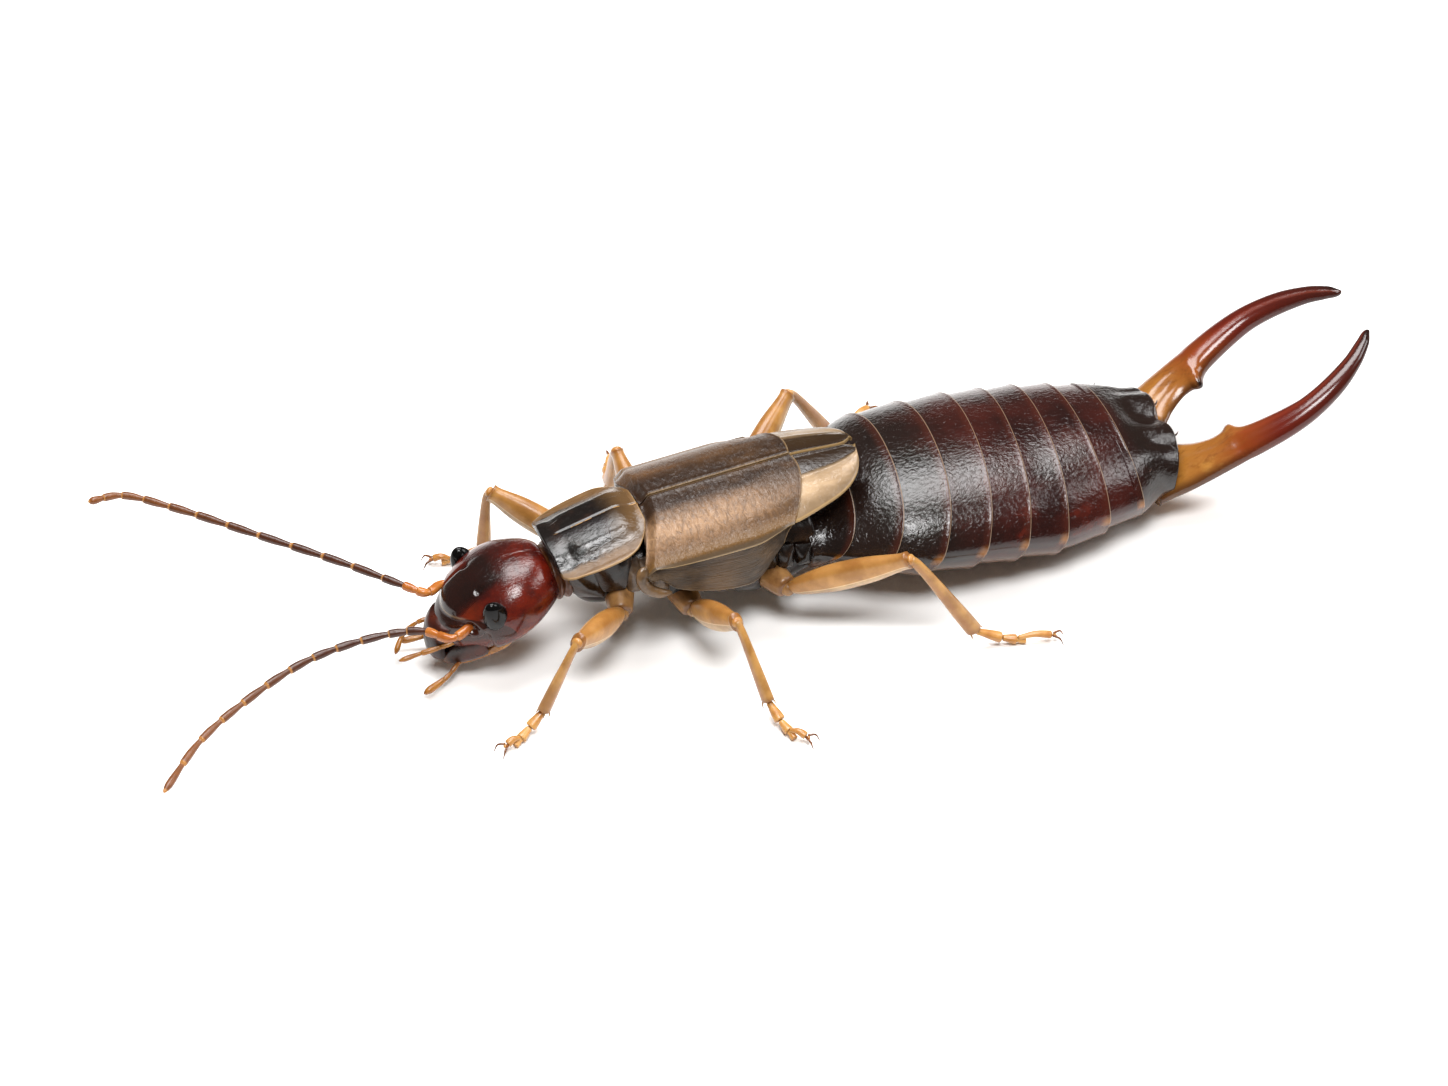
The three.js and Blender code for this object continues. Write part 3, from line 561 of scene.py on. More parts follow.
def tegmen_finish():
    """Its form is the share along, the share across from the seam, and how far in from the edge."""
    f = Finish("tegmen_leather", Specular_IOR_Level=0.38)
    along, across, inwards = f.parts(f.form)
    y = f.parts(f.in_millimetres())[1]
    streaks = f.noise(1.8, 3.0, 0.6, (0.35, 1.6, 1.2))
    roof = f.mix(streaks.rise(0.3, 0.72), "#28170a", "#58391b")
    near_seam = (across + 0.1 * (streaks - 0.5) - 0.07 * along).rise(0.24, 0.1)
    roof = f.mix(near_seam * 0.9, roof, "#20130a")
    roof = f.mix(along.rise(0.2, 0.0) * across.rise(0.4, 0.1) * 0.6, roof, "#2e1d12")
    # Painted sheen: a pale band along the roof stands in for the light's broad highlight, much stronger on
    # the near, left case than on the far one
    painted_sheen = (across + 0.08 * streaks).hump(0.38, 0.2) * along.rise(1.3, 0.4)
    near = y.rise(0.4, -0.4)
    roof = f.mix(painted_sheen * (0.1 + 0.7 * near), roof, "#a68260")
    wrinkles = f.noise(10.0, 4.0, 0.65, (1.5, 0.7, 0.7), distortion=1.1)
    # Painted shade in the creases: darker where the wrinkle relief below is lowest
    roof = f.mix(wrinkles.rise(0.62, 0.32) * 0.5, roof, "#36251a")
    mottle = f.noise(1.3, 3.0, 0.65, (0.6, 1.3, 1)).rise(0.48, 0.66)
    roof = f.mix(mottle * along.rise(0.1, 0.5) * 0.55, roof, "#4a321b")
    roof = f.mix(across.hump(0.5, 0.07) * 0.8, roof, "#6b4d28")
    veins = f.noise(2.2, 3.0, 0.6, (0.5, 1, 1))
    flap = f.mix(veins.rise(0.35, 0.65), "#2e241b", "#4e3c28")
    flap = f.mix(along.hump(0.5, 0.2) * 0.25, flap, "#7b5a34")
    band = f.mix(streaks, "#42352a", "#5f4c34")
    roof = f.mix(across.rise(0.5, 0.53), roof, band)
    colour = f.mix(across.rise(FOLD - 0.005, FOLD + 0.005), roof, flap)
    rim = inwards.rise(0.035, 0.01) * along.rise(0.03, 0.08)
    colour = f.mix(rim * 0.6, colour, "#7c6342")
    # Painted shadow: a dark thin line just below the fold's lip, where the lip casts its shade
    colour = f.mix(across.hump(FOLD + 0.02, 0.022) * 0.75, colour, "#170f08")
    line = across.hump(FOLD - 0.012, 0.02) * along.rise(0.02, 0.1)
    colour = f.mix(line * 0.8, colour, "#a88c60")
    lines = f.noise(1.0, 2.0, 0.5, (6, 90, 1), f.form)
    flat = across.rise(0.5, 0.54)
    relief = wrinkles * (1 - flat) + lines * across.rise(FOLD, FOLD + 0.02) * 0.8
    pebbles = f.cells(15.0) * across.hump(0.47, 0.07)
    normal = f.bump(pebbles, 0.01, 0.6, f.bump(relief, 0.03, 0.8))
    return f.done(colour, 0.26 + 0.12 * streaks, normal)


def wing_finish():
    f = Finish("wing_leather", Specular_IOR_Level=0.4)
    along, across, inwards = f.parts(f.form)
    clouds = f.noise(2.2, 3.0, 0.6, (0.6, 1.4, 1))
    pale = f.mix(clouds.rise(0.3, 0.7), "#866e52", "#b59a7a")
    dark = f.mix(clouds, "#170d06", "#2e1e0f")
    inner = (across + 0.14 * (clouds - 0.5)).rise(0.56, 0.38)
    colour = f.mix(inner, pale, dark)
    colour = f.mix(across.rise(0.72, 0.95) * 0.7, colour, "#5c4830")
    # Painted shade: the right wing, on the far side, is made darker
    colour = f.mix(f.parts(f.in_millimetres())[1].rise(-0.1, 0.2) * 0.5, colour, "#32220f")
    colour = f.mix(inwards.rise(0.03, 0.01) * 0.6, colour, "#a88a5c")
    wrinkles = f.noise(10.0, 3.0, 0.6, (1, 1.3, 1.3), distortion=0.8)
    return f.done(colour, 0.24, f.bump(wrinkles, 0.012, 0.6))


def abdomen_finish():
    """Its form is the share along the ring, then sideways and up on the ring."""
    f = Finish("abdomen_cuticle", Specular_IOR_Level=0.45)
    along, _, up = f.parts(f.form)
    x = f.parts(f.in_millimetres())[0] - float(OFFSET[0])
    clouds = f.noise(1.1, 4.0, 0.6)
    black = f.mix(clouds, "#0b0706", "#1d100c")
    maroon = f.mix(clouds.rise(0.3, 0.7), "#1a0605", "#310d08")
    rearwards = (x + 1.4 * (clouds - 0.5)).rise(7.6, 9.6) * x.rise(12.1, 11.6)
    colour = f.mix(rearwards, black, maroon)
    glow = f.noise(1.7, 3.0, 0.6).rise(0.56, 0.72) * up.rise(0.9, 0.2) * up.rise(-0.35, 0.1)
    colour = f.mix(glow * rearwards * 0.6, colour, "#54180b")
    band = along.rise(0.8, 0.97)
    colour = f.mix(band * 0.4 * x.rise(12.0, 11.5), colour, "#431a0e")
    spot = along.rise(0.78, 0.94) * (up + 0.1 * clouds).hump(0.08, 0.16)
    colour = f.mix(spot * 0.7, colour, "#8f5a20")
    rim = along.rise(0.982, 0.992) * x.rise(12.1, 12.0)
    colour = f.mix(rim * 0.55, colour, "#8e7a64")
    belly = up.rise(-0.08, -0.45)
    colour = f.mix(belly * (0.4 + 0.4 * clouds), colour, "#6b4c36")
    wrinkles = f.noise(12.0, 3.0, 0.55, (1, 1.15, 1.15), distortion=0.8)
    pits = f.cells(9.0).rise(0.16, 0.05)
    upper = up.rise(-0.15, 0.35)
    relief = wrinkles * (0.1 + 0.9 * upper) - pits * upper * 0.35
    rough = 0.14 + 0.12 * belly + 0.1 * clouds
    return f.done(colour, rough, f.bump(relief, 0.012, 0.85))


def forceps_finish():
    """Its form is the share along, then sideways and up round the arm."""
    f = clear_cuticle("forceps_cuticle", 0.42, 0.03, (0.3, 0.09, 0.03))
    along, side, up = f.parts(f.form)
    streaks = f.noise(2.2, 4.0, 0.6, (0.5, 1.4, 1.4))
    place = along + 0.06 * (streaks - 0.5) + 0.05 * side
    colour = f.ramp(place, (0.0, "#4a2a12"), (0.1, "#8c5d26"), (0.28, "#824e1e"),
                    (0.4, "#70300f"), (0.55, "#54160a"), (0.8, "#3e1009"),
                    (0.93, "#34110b"), (1.0, "#1c0a08"))
    colour = f.mix(streaks.rise(0.5, 0.75) * place.rise(0.45, 0.3) * 0.5, colour, "#a87a38")
    # Painted rim shade: darker towards both sides of the arm, mostly on its amber base
    painted_rim_shade = abs(side).rise(0.7, 1.0) * (0.35 + 0.65 * place.rise(0.6, 0.3))
    colour = f.mix(painted_rim_shade * 0.8, colour, "#2c1008")
    grain = f.noise(5.0, 4.0, 0.7, (0.25, 1.6, 1.6)).rise(0.5, 0.7) * place.rise(0.5, 0.3)
    colour = f.mix(grain * 0.5, colour, "#5c3412")
    # Painted highlight: a lighter red line along the top of each arm's outer part
    painted_ridge_highlight = (side + 0.2).hump(0.0, 0.3) * up.rise(0.2, 0.9) * place.rise(0.3, 0.45)
    colour = f.mix(painted_ridge_highlight * 0.25, colour, "#8a3a26")
    tips = along.hump(0.366, 0.016).most(along.hump(0.165, 0.025)) * side.rise(-0.7, -0.95)
    colour = f.mix(tips, colour, "#140a08")
    scratches = f.noise(9.0, 3.0, 0.6, (0.6, 2.2, 2.2), distortion=0.6)
    return f.done(colour, 0.12 + 0.08 * streaks, f.bump(scratches, 0.003, 0.6))


def plain_finish(name, colour, other, roughness, scale, relief):
    """A finish of two tones, mottled, with a fine grain."""
    f = Finish(name)
    tone = f.mix(f.noise(scale, 3.0, 0.6).rise(0.3, 0.7), colour, other)
    return f.done(tone, roughness, f.bump(f.noise(scale * 3, 2.0), relief, 0.6))


def chest_finish():
    f = Finish("chest_cuticle", Specular_IOR_Level=0.35)
    along, _, up = f.parts(f.form)
    clouds = f.noise(1.5, 4.0, 0.65)
    colour = f.mix(clouds.rise(0.42, 0.6), "#0c0604", "#26160c")
    colour = f.mix(along.hump(1.0, 0.07) * 0.4, colour, "#6a4e30")
    colour = f.mix(up.rise(-0.2, -0.8) * 0.3, colour, "#40342c")
    return f.done(colour, 0.2 + 0.12 * clouds, f.bump(f.noise(6.0, 3.0), 0.02, 0.6))


def plate_finish(name, dark, light):
    """A glossy plate with a tan rim; its form is along, then sideways and up round its section."""
    f = Finish(name, Specular_IOR_Level=0.5)
    along, side, _ = f.parts(f.form)
    tone = f.mix(f.noise(1.8, 3.0, 0.6).rise(0.4, 0.7), dark, light)
    rim = abs(side).rise(0.9, 0.99).most(along.rise(0.06, 0.01)).most(along.rise(0.94, 0.99))
    return f.done(f.mix(rim * 0.7, tone, "#8a6a40"), 0.18, f.bump(f.noise(7.0, 2.0), 0.01, 0.6))


def coxa_finish():
    f = clear_cuticle("coxa_cuticle", 0.45, 0.08, (0.25, 0.12, 0.05))
    along = f.parts(f.form)[0]
    clouds = f.noise(1.8, 4.0, 0.65)
    colour = f.mix(clouds.rise(0.35, 0.65), "#6b4725", "#9c7345")
    # Painted shade: darker towards the base, where the coxa meets the body
    colour = f.mix(along.rise(0.5, 0.1) * 0.6, colour, "#3a2616")
    colour = f.mix(along.rise(0.84, 0.95) * 0.8, colour, "#54300f")
    stripes = f.noise(3.0, 3.0, 0.6, (1, 1, 0.4)).rise(0.55, 0.7)
    colour = f.mix(stripes * 0.5, colour, "#4c3420")
    return f.done(colour, 0.24 + 0.1 * clouds, f.bump(f.noise(12.0, 2.0), 0.008, 0.6))


HEAD = head_finish()
EYE = eye_finish()
MOUTH = mouth_finish()
AMBER_CUTICLE = amber_finish()
PALP_CUTICLE = amber_finish("palp_cuticle", "#a06c2c", "#7a4818", "#4c280e", 0.16)
FEELER_BASE = amber_finish("feeler_base", "#a8662a", "#864416", "#4c200a", 0.16)
FEMUR = femur_finish()
SHIN = shin_finish()
FEELER = feeler_finish()
PRONOTUM = pronotum_finish()
TEGMEN = tegmen_finish()
WING = wing_finish()
ABDOMEN = abdomen_finish()
FORCEPS = forceps_finish()
CHEST = chest_finish()
NECK = plain_finish("neck_membrane", "#34150a", "#6a3c1e", 0.3, 3.0, 0.03)
COXA = coxa_finish()
DARK_TIP = plain_finish("dark_tip", "#1c0f0b", "#33190f", 0.3, 6.0, 0.01)
PLEURON = plate_finish("side_plate", "#170c06", "#402a18")
MEMBRANE = plain_finish("chest_membrane", "#2e2016", "#5c462e", 0.34, 3.5, 0.03)
ROLLED_RIM = plain_finish("rolled_rim", "#382818", "#6b5032", 0.3, 3.0, 0.03)
BRISTLE = plain_finish("bristle", "#a87a3c", "#7a5526", 0.4, 9.0, 0.002)
DARK_CLAW = plain_finish("claw", "#7a4519", "#4e2a10", 0.25, 6.0, 0.004)


# Head

HEAD_DIP = math.radians(20)
HEAD_CENTRE = np.array([0.9, 0.0, 1.334])
HEAD_BACK, HEAD_FRONT = -0.72, 1.5
FORWARDS = np.array([-math.cos(HEAD_DIP), 0.0, -math.sin(HEAD_DIP)])
UPWARDS = np.array([-math.sin(HEAD_DIP), 0.0, math.cos(HEAD_DIP)])
SIDEWAYS = np.array([0.0, 1.0, 0.0])
EYE_CENTRES = {"left": (0.52, -0.79, 0.36), "right": (0.55, 0.86, 0.17)}
EYE_RADII = (0.22, 0.2, 0.38)
# The pit of the brow: ahead and aside; a feeler's socket: ahead and above; and their sizes
PIT, PIT_REACHES = (0.57, 0.34), (0.07, 0.05)
SOCKET, SOCKET_RADIUS = (0.95, 0.26), 0.13

head_half_width = profile((-0.72, 0.34), (-0.65, 0.52), (-0.45, 0.72), (0, 0.96), (0.45, 0.99),
                          (0.9, 0.82), (1.2, 0.6), (1.5, 0.4))
head_top = profile((-0.74, 0.22), (-0.66, 0.46), (-0.4, 0.64), (0, 0.74), (0.5, 0.7), (1, 0.54),
                   (1.5, 0.3))
head_bottom = profile((-0.74, 0.18), (-0.66, 0.24), (-0.4, 0.32), (0, 0.4), (0.5, 0.5), (1, 0.58),
                      (1.5, 0.42))


def in_head(ahead, aside, above):
    """Places in the head's own frame: forwards, sideways and up from its centre."""
    ahead, aside, above = (np.asarray(v, float)[..., None] for v in (ahead, aside, above))
    return HEAD_CENTRE + FORWARDS * ahead + SIDEWAYS * aside + UPWARDS * above


def make_head():
    def place(t, side, up):
        ahead = lerp(HEAD_BACK, HEAD_FRONT, t)
        s, u = squared(side, up, 2.2)
        end = np.sqrt(clamp(1 - ease(ahead, 1.2, 1.62) ** 2))
        aside = s * head_half_width(ahead) * end
        above = u * np.where(up > 0, head_top(ahead), head_bottom(ahead)) * end
        wide = np.abs(aside)
        top = ease(above, 0.0, 0.15)
        rim = ahead + FACE_CURVE * aside**2
        above = above - 0.035 * ease(rim, FACE_EDGE - 0.035, FACE_EDGE + 0.035) * top
        lobe = ease(ahead, 0.1, 0.7) * fall(wide, 0.3, 0.4) * fall(rim, 1.15, FACE_EDGE)
        above = above + 0.035 * lobe * top
        pit = hump(ahead, PIT[0], PIT_REACHES[0]) * hump(wide, PIT[1], PIT_REACHES[1])
        above = above - 0.07 * pit * top
        groove = ease(ahead, 0.55, 0.75) * fall(rim, 1.15, 1.23)
        above = above - 0.045 * hump(wide, 0.4, 0.035) * groove * top
        above = above - 0.012 * hump(wide, 0.0, 0.02) * fall(ahead, -0.35, 0.0) * top
        notch = ease(ahead, 0.72, 0.8) * fall(above, 0.12, 0.3)
        aside = aside * (1 - 0.1 * notch)
        socket = np.hypot(ahead - SOCKET[0], above - SOCKET[1]) / SOCKET_RADIUS + 9 * fall(wide, 0.4, 0.5)
        aside = aside * (1 + 0.06 * hump(socket, 1.0, 0.35) - 0.12 * fall(socket, 0.3, 0.9))
        return (*spread(in_head(ahead, aside, above)), ahead, aside, above)

    Shape().surface(*net(cosine_spacing(130), 200, place)).make("head_shell", [HEAD], "head", "head")


def make_eyes():
    for name, hand in SIDES:
        eye = Shape()
        outwards = unit(SIDEWAYS * 0.83 + UPWARDS * 0.55 * hand)
        centre = in_head(*EYE_CENTRES[name])
        ball(eye, centre, EYE_RADII, (FORWARDS, outwards, UPWARDS), 40, 56)
        eye.make(f"eye_lens_{name}", [EYE], "eye", f"eye_{name}")


# How many points the path of a row of segments has, and the path of each segment in it
PATH_POINTS, SEGMENT_POINTS = 500, 7


def chain(shape, path, lengths, widths, swell, finishes, sides=20, rings=16):
    """A row of segments along a path, each narrow at its base and blunt at its tip.

    swell is the size of a segment's base as a share of its width. The form's second value is made
    the share along the row, the same all over a segment.
    """
    fine, _ = line_through(path, PATH_POINTS)
    ends = np.concatenate([[0], np.cumsum(lengths)]) / np.sum(lengths)
    for i, (start, end) in enumerate(zip(ends, ends[1:])):
        joint = 0.35 * widths[i] / np.sum(lengths)
        at = clamp(np.linspace(start - joint, end, SEGMENT_POINTS)) * (PATH_POINTS - 1)
        part = [[np.interp(k, np.arange(PATH_POINTS), fine[:, axis]) for axis in range(3)] for k in at]
        last = i == len(lengths) - 1

        def size(t, whole=widths[i], last=last):
            tip = 1 - 0.25 * ease(t, 0.7, 1.0) if last else 1 - 0.1 * ease(t, 0.85, 1.0)
            blunt = rounded(t, 0.03, 0.3 if last else 0.09)
            return whole * lerp(swell, 1.0, ease(t, 0.02, 0.62)) * tip * blunt

        limb(shape, part, (0, 0.3, 0.95), size, size, rings, sides, finish=finishes[i])
        shape.forms[-1][:, 1] = i / (len(lengths) - 1)


# Each feeler's path from its socket to its tip, and the lengths of its segments
FEELERS = {
    "antenna_left": {
        "path": [(0.03, -0.46, 1.25), (-0.07, -0.54, 1.24), (-0.47, -0.7, 1.2), (-0.83, -0.27, 1.12),
                 (-1.43, -0.04, 1.04), (-2.77, -0.04, 0.93), (-4.18, -0.56, 0.81), (-5.09, -1.09, 0.73),
                 (-6.02, -1.97, 0.65)],
        "lengths": [0.52, 0.34, 0.24, 0.35, 0.31, 0.49, 0.44, 0.43, 0.47, 0.51, 0.54, 0.51, 0.54, 0.61,
                    0.68],
    },
    "antenna_right": {
        "path": [(-0.12, 0.5, 1.34), (-0.25, 0.51, 1.34), (-0.53, 0.37, 1.36), (-0.87, 0.68, 1.39),
                 (-1.52, 1.42, 1.42), (-2.76, 2.7, 1.47), (-3.94, 3.89, 1.52), (-4.62, 4.42, 1.55),
                 (-5.2, 4.43, 1.58)],
        "lengths": [0.43, 0.2, 0.27, 0.4, 0.59, 0.57, 0.59, 0.62, 0.59, 0.59, 0.51, 0.47, 0.39, 0.32,
                    0.26],
    },
}
FEELER_WIDTHS = [0.17, 0.165, 0.16] + [0.15] * 8 + [0.145] + [0.14] * 3
# The three segments next to the head are clearer than the twelve beyond them
FEELER_FINISHES = [1] * 3 + [0] * 12


def make_feelers():
    for name, feeler in FEELERS.items():
        shape = Shape()
        chain(shape, feeler["path"], feeler["lengths"], FEELER_WIDTHS, 0.7, FEELER_FINISHES, 24, 28)
        shape.make(f"{name}_segments", [FEELER, FEELER_BASE], "feeler", name)


PALPS = {
    "maxillary_palp_left": {
        "path": [(0.06, -0.34, 0.84), (-0.3, -0.36, 0.78), (-0.62, -0.34, 0.72), (-0.95, -0.3, 0.66),
                 (-1.3, -0.3, 0.62)],
        "lengths": [0.3, 0.3, 0.32, 0.36], "widths": [0.085, 0.085, 0.1, 0.095]},
    "maxillary_palp_right": {
        "path": [(-0.1, 0.4, 0.8), (-0.3, 0.42, 0.75), (-0.72, 0.44, 0.68), (-0.96, 0.5, 0.4),
                 (-1.16, 0.3, 0.22)],
        "lengths": [0.3, 0.34, 0.36, 0.36], "widths": [0.085, 0.085, 0.09, 0.1]},
    "labial_palp_left": {
        "path": [(0.1, -0.34, 0.56), (-0.12, -0.4, 0.44), (-0.3, -0.46, 0.36), (-0.56, -0.6, 0.26),
                 (-1.03, -0.76, 0.17)],
        "lengths": [0.42, 0.22, 0.2, 0.42], "widths": [0.09, 0.085, 0.085, 0.13]},
    "labial_palp_right": {
        "path": [(0.1, 0.34, 0.5), (-0.02, 0.36, 0.45), (-0.34, 0.46, 0.3), (-0.6, 0.56, 0.22),
                 (-0.98, 0.64, 0.17)],
        "lengths": [0.36, 0.24, 0.2, 0.4], "widths": [0.09, 0.085, 0.085, 0.12]},
}

# The lower jaw's rim, forwards, sideways and up in the head's frame
MAXILLA = ((0.42, 0.82, -0.18), (0.66, 0.7, -0.38), (0.95, 0.55, -0.5), (1.3, 0.4, -0.56),
           (1.55, 0.28, -0.56))


def make_mouth():
    for name, palp in PALPS.items():
        shape = Shape()
        chain(shape, palp["path"], palp["lengths"], palp["widths"], 0.72, [0] * 4)
        shape.make(f"{name}_segments", [PALP_CUTICLE], "amber", name)

    def lip(t, side, up):
        s, u = squared(side, up, 3.2)
        size = rounded(t, 0.08, 0.28)
        drop = ease(t, -0.25, 1.0)
        ahead = 1.36 + 0.36 * np.sin(np.pi / 2 * clamp(1.15 * t)) - 0.12 * s**2 + 0.09 * u * size
        above = 0.26 - 0.82 * t * drop - 0.04 * s**2
        return spread(in_head(ahead, s * 0.4 * (1 - 0.32 * t) * size, above))

    Shape().surface(*net(cosine_spacing(36), 64, lip)).make("upper_lip", [MOUTH], "mouth", "labrum")
    for name, hand in SIDES:
        shape = Shape()

        def jaw(t, side, up, hand=hand):
            s, u = squared(side, up, 2.4)
            size = rounded(t, 0.1, 0.4)
            aside = lerp(0.5, 0.2, ease(t, 0.1, 1.0)) + s * 0.2 * size
            above = -0.26 - 0.24 * t**1.5 + u * (0.24 - 0.06 * t) * size
            return spread(in_head(0.86 + 0.8 * t, hand * aside, above))

        shape.surface(*net(cosine_spacing(30), 44, jaw))
        band = [in_head(ahead, hand * aside, above) for ahead, aside, above in MAXILLA]
        limb(shape, band, UPWARDS, lambda t: 0.16 * rounded(t, 0.1, 0.1),
             lambda t: 0.07 * rounded(t, 0.1, 0.1), 40, 16, 2.0, 1)
        shape.make(f"jaw_{name}", [MOUTH, PALP_CUTICLE], "mouth", f"mandible_{name}")


# Neck, chest and the plates over it

chest_half_width = profile((1.7, 0.42), (2.3, 0.6), (3.0, 0.66), (3.4, 0.78), (4.6, 0.86), (5.9, 0.94))
chest_half_height = profile((1.7, 0.32), (2.1, 0.4), (3.0, 0.52), (3.4, 0.66), (4.6, 0.8), (5.4, 0.84),
                            (5.9, 0.72))
chest_middle = profile((1.7, 1.36), (2.1, 1.24), (3.0, 1.38), (3.4, 1.42), (4.6, 1.3), (5.4, 1.2),
                       (5.9, 1.24))
CHEST_JOINTS = (1.9, 3.12, 4.5, 6.1)
FLANK_THICK = 0.06


def pad(shape, corners, bulge, finish):
    """A curved plate between four corners, top front, top rear, bottom rear and bottom front."""
    corners = [np.array(corner, float) for corner in corners]
    out = unit(np.cross(corners[1] - corners[0], corners[3] - corners[0]))
    out = out * np.sign(out[1] * corners[0][1])

    def place(t, side, up):
        s, u = squared(side, up, 4)
        ends = rounded(t, 0.16, 0.16)
        v = (1 - s * ends) / 2
        top = corners[0] + (corners[1] - corners[0]) * t[..., None]
        low = corners[3] + (corners[2] - corners[3]) * t[..., None]
        crown = bulge * np.sin(np.pi * t) * np.sin(np.pi * clamp(v)) + 0.5 * FLANK_THICK * u * ends
        at = top + (low - top) * v[..., None] + out * crown[..., None]
        return spread(at)

    shape.surface(*net(cosine_spacing(36), 56, place), finish)


# The plates of each flank, from the neck back: x, distance from the middle and z of the top front,
# top rear, bottom rear and bottom front corners, then the bulge and the finish
FLANK_PLATES = {
    "prothorax": (
        (((1.6, 0.56, 1.86), (2.12, 0.66, 1.9), (2.36, 0.62, 1.14), (1.78, 0.5, 1.26)), 0.1, 1),
        (((1.98, 0.66, 2.16), (2.82, 0.7, 2.2), (2.66, 0.74, 1.32), (2.2, 0.68, 1.36)), 0.09, 0),
        (((2.6, 0.66, 1.9), (2.9, 0.68, 1.95), (2.92, 0.72, 1.2), (2.66, 0.7, 1.2)), 0.1, 2),
        (((2.86, 0.68, 1.9), (3.12, 0.7, 1.9), (3.16, 0.74, 1.14), (2.9, 0.72, 1.18)), 0.1, 2),
    ),
    "mesothorax": (
        (((3.08, 0.72, 1.9), (3.34, 0.74, 1.9), (3.42, 0.8, 1.1), (3.12, 0.74, 1.12)), 0.1, 2),
        (((3.3, 0.74, 1.7), (3.95, 0.8, 1.6), (3.9, 0.84, 0.98), (3.38, 0.8, 1.02)), 0.09, 0),
        (((3.9, 0.8, 1.6), (4.5, 0.86, 1.6), (4.46, 0.88, 0.84), (3.94, 0.84, 0.92)), 0.09, 0),
    ),
    "metathorax": (
        (((4.42, 0.86, 1.3), (5.16, 0.92, 1.3), (5.06, 0.86, 0.66), (4.54, 0.82, 0.74)), 0.12, 0),
        (((4.7, 0.86, 1.7), (5.3, 0.94, 1.72), (5.3, 0.98, 1.16), (4.76, 0.92, 1.16)), 0.1, 0),
        (((5.26, 0.9, 1.62), (5.62, 0.96, 1.58), (5.58, 1.0, 1.12), (5.3, 0.96, 1.1)), 0.12, 0),
        (((5.58, 0.94, 1.56), (5.92, 0.98, 1.52), (5.9, 1.0, 1.1), (5.62, 0.98, 1.1)), 0.12, 0),
    ),
}


def make_chest():
    def collar(t, side, up):
        x = lerp(1.4, 2.1, t)
        fold = 1 + 0.05 * np.cos(t * 9 * np.pi)
        return x, side * 0.56 * fold, 1.5 + up * 0.42 * fold

    Shape().surface(*net(even_spacing(80), 72, collar)).make("neck_folds", [NECK], "thorax", "neck")
    for i, (name, plates) in enumerate(FLANK_PLATES.items()):
        def ring(t, side, up, i=i):
            x = lerp(CHEST_JOINTS[i] - 0.05, CHEST_JOINTS[i + 1] + 0.03, t)
            s, u = squared(side, up, 2.4)
            size = rounded(t, 0.08, 0.08)
            swell = 0.05 * np.sin(np.pi * clamp(t)) - 0.03
            return (x, s * (chest_half_width(x) + swell) * size,
                    chest_middle(x) + u * (chest_half_height(x) + swell) * size)

        shape = Shape().surface(*net(even_spacing(60), 96, ring))
        for corners, bulge, finish in plates:
            for _, hand in SIDES:
                pad(shape, [(x, hand * y, z) for x, y, z in corners], bulge, finish)
        shape.make(f"{name}_plates", [CHEST, PLEURON, MEMBRANE], "thorax", name)


PRONOTUM_LENGTH = 1.62
PRONOTUM_HALF_WIDTH = 0.89
PRONOTUM_FRONT_Z = 2.16
PRONOTUM_SLOPE = 0.258
PRONOTUM_ARCH = 0.16
PRONOTUM_BOW = 0.08
PLATE_THICK = 0.07


def pronotum_half_width(t):
    rear = clamp((t - 0.62) / 0.38)
    bulge = 0.93 + 0.11 * np.sin(np.pi * clamp(t)) + 0.04 * t
    corners = (0.9 + 0.1 * np.sqrt(clamp(t / 0.12))) * np.sqrt(1 - 0.8 * rear**2.6)
    return PRONOTUM_HALF_WIDTH * bulge * corners


def make_pronotum():
    def place(t, side, up):
        s, u = squared(side, up, 6)
        half = pronotum_half_width(t)
        y = s * half
        x = PRONOTUM_FRONT + PRONOTUM_LENGTH * t - PRONOTUM_BOW * (1 - s**2) * (1 - t)
        out = np.abs(y) / PRONOTUM_HALF_WIDTH
        back = x - PRONOTUM_FRONT
        top = PRONOTUM_FRONT_Z + PRONOTUM_SLOPE * back - PRONOTUM_ARCH * out**2
        disc = ease(0.8 - out, 0.0, 0.34) * ease(1 - t, 0.02, 0.26)
        top = top + 0.13 * disc - 0.07 + 0.035 * ease(out, 0.9, 1.05) * ease(t, 0.0, 0.2)
        top = top - 0.02 * hump(y, 0, 0.018) * ease(t, 0.1, 0.2)
        top = top - 0.035 * hump(back, 0.22, 0.12) * hump(np.abs(y), 0.46, 0.16)
        thick = PLATE_THICK * lerp(1.6, 0.8, out) * rounded(t, 0.015, 0.015)
        inwards = np.minimum(half - np.abs(y), PRONOTUM_LENGTH * np.minimum(t, 1 - t))
        return x, y, top - PLATE_THICK / 2 + u * thick / 2, back, y, inwards

    shield = Shape().surface(*net(cosine_spacing(110), 260, place))
    shield.make("pronotum_shield", [PRONOTUM], "pronotum", "pronotum")


TEGMEN_FRONT, TEGMEN_REAR = 3.24, 5.88
# The rolled front rim of a wing case, from the shoulder down to the flap's lower edge, as it lies
# where the shoulder reaches ROLL_REACH forwards
ROLL_REACH = 0.44
TEGMEN_ROLL = ((2.86, 1.2, 2.16), (2.79, 1.27, 1.94), (2.88, 1.31, 1.75), (3.06, 1.33, 1.62),
               (3.3, 1.33, 1.55))
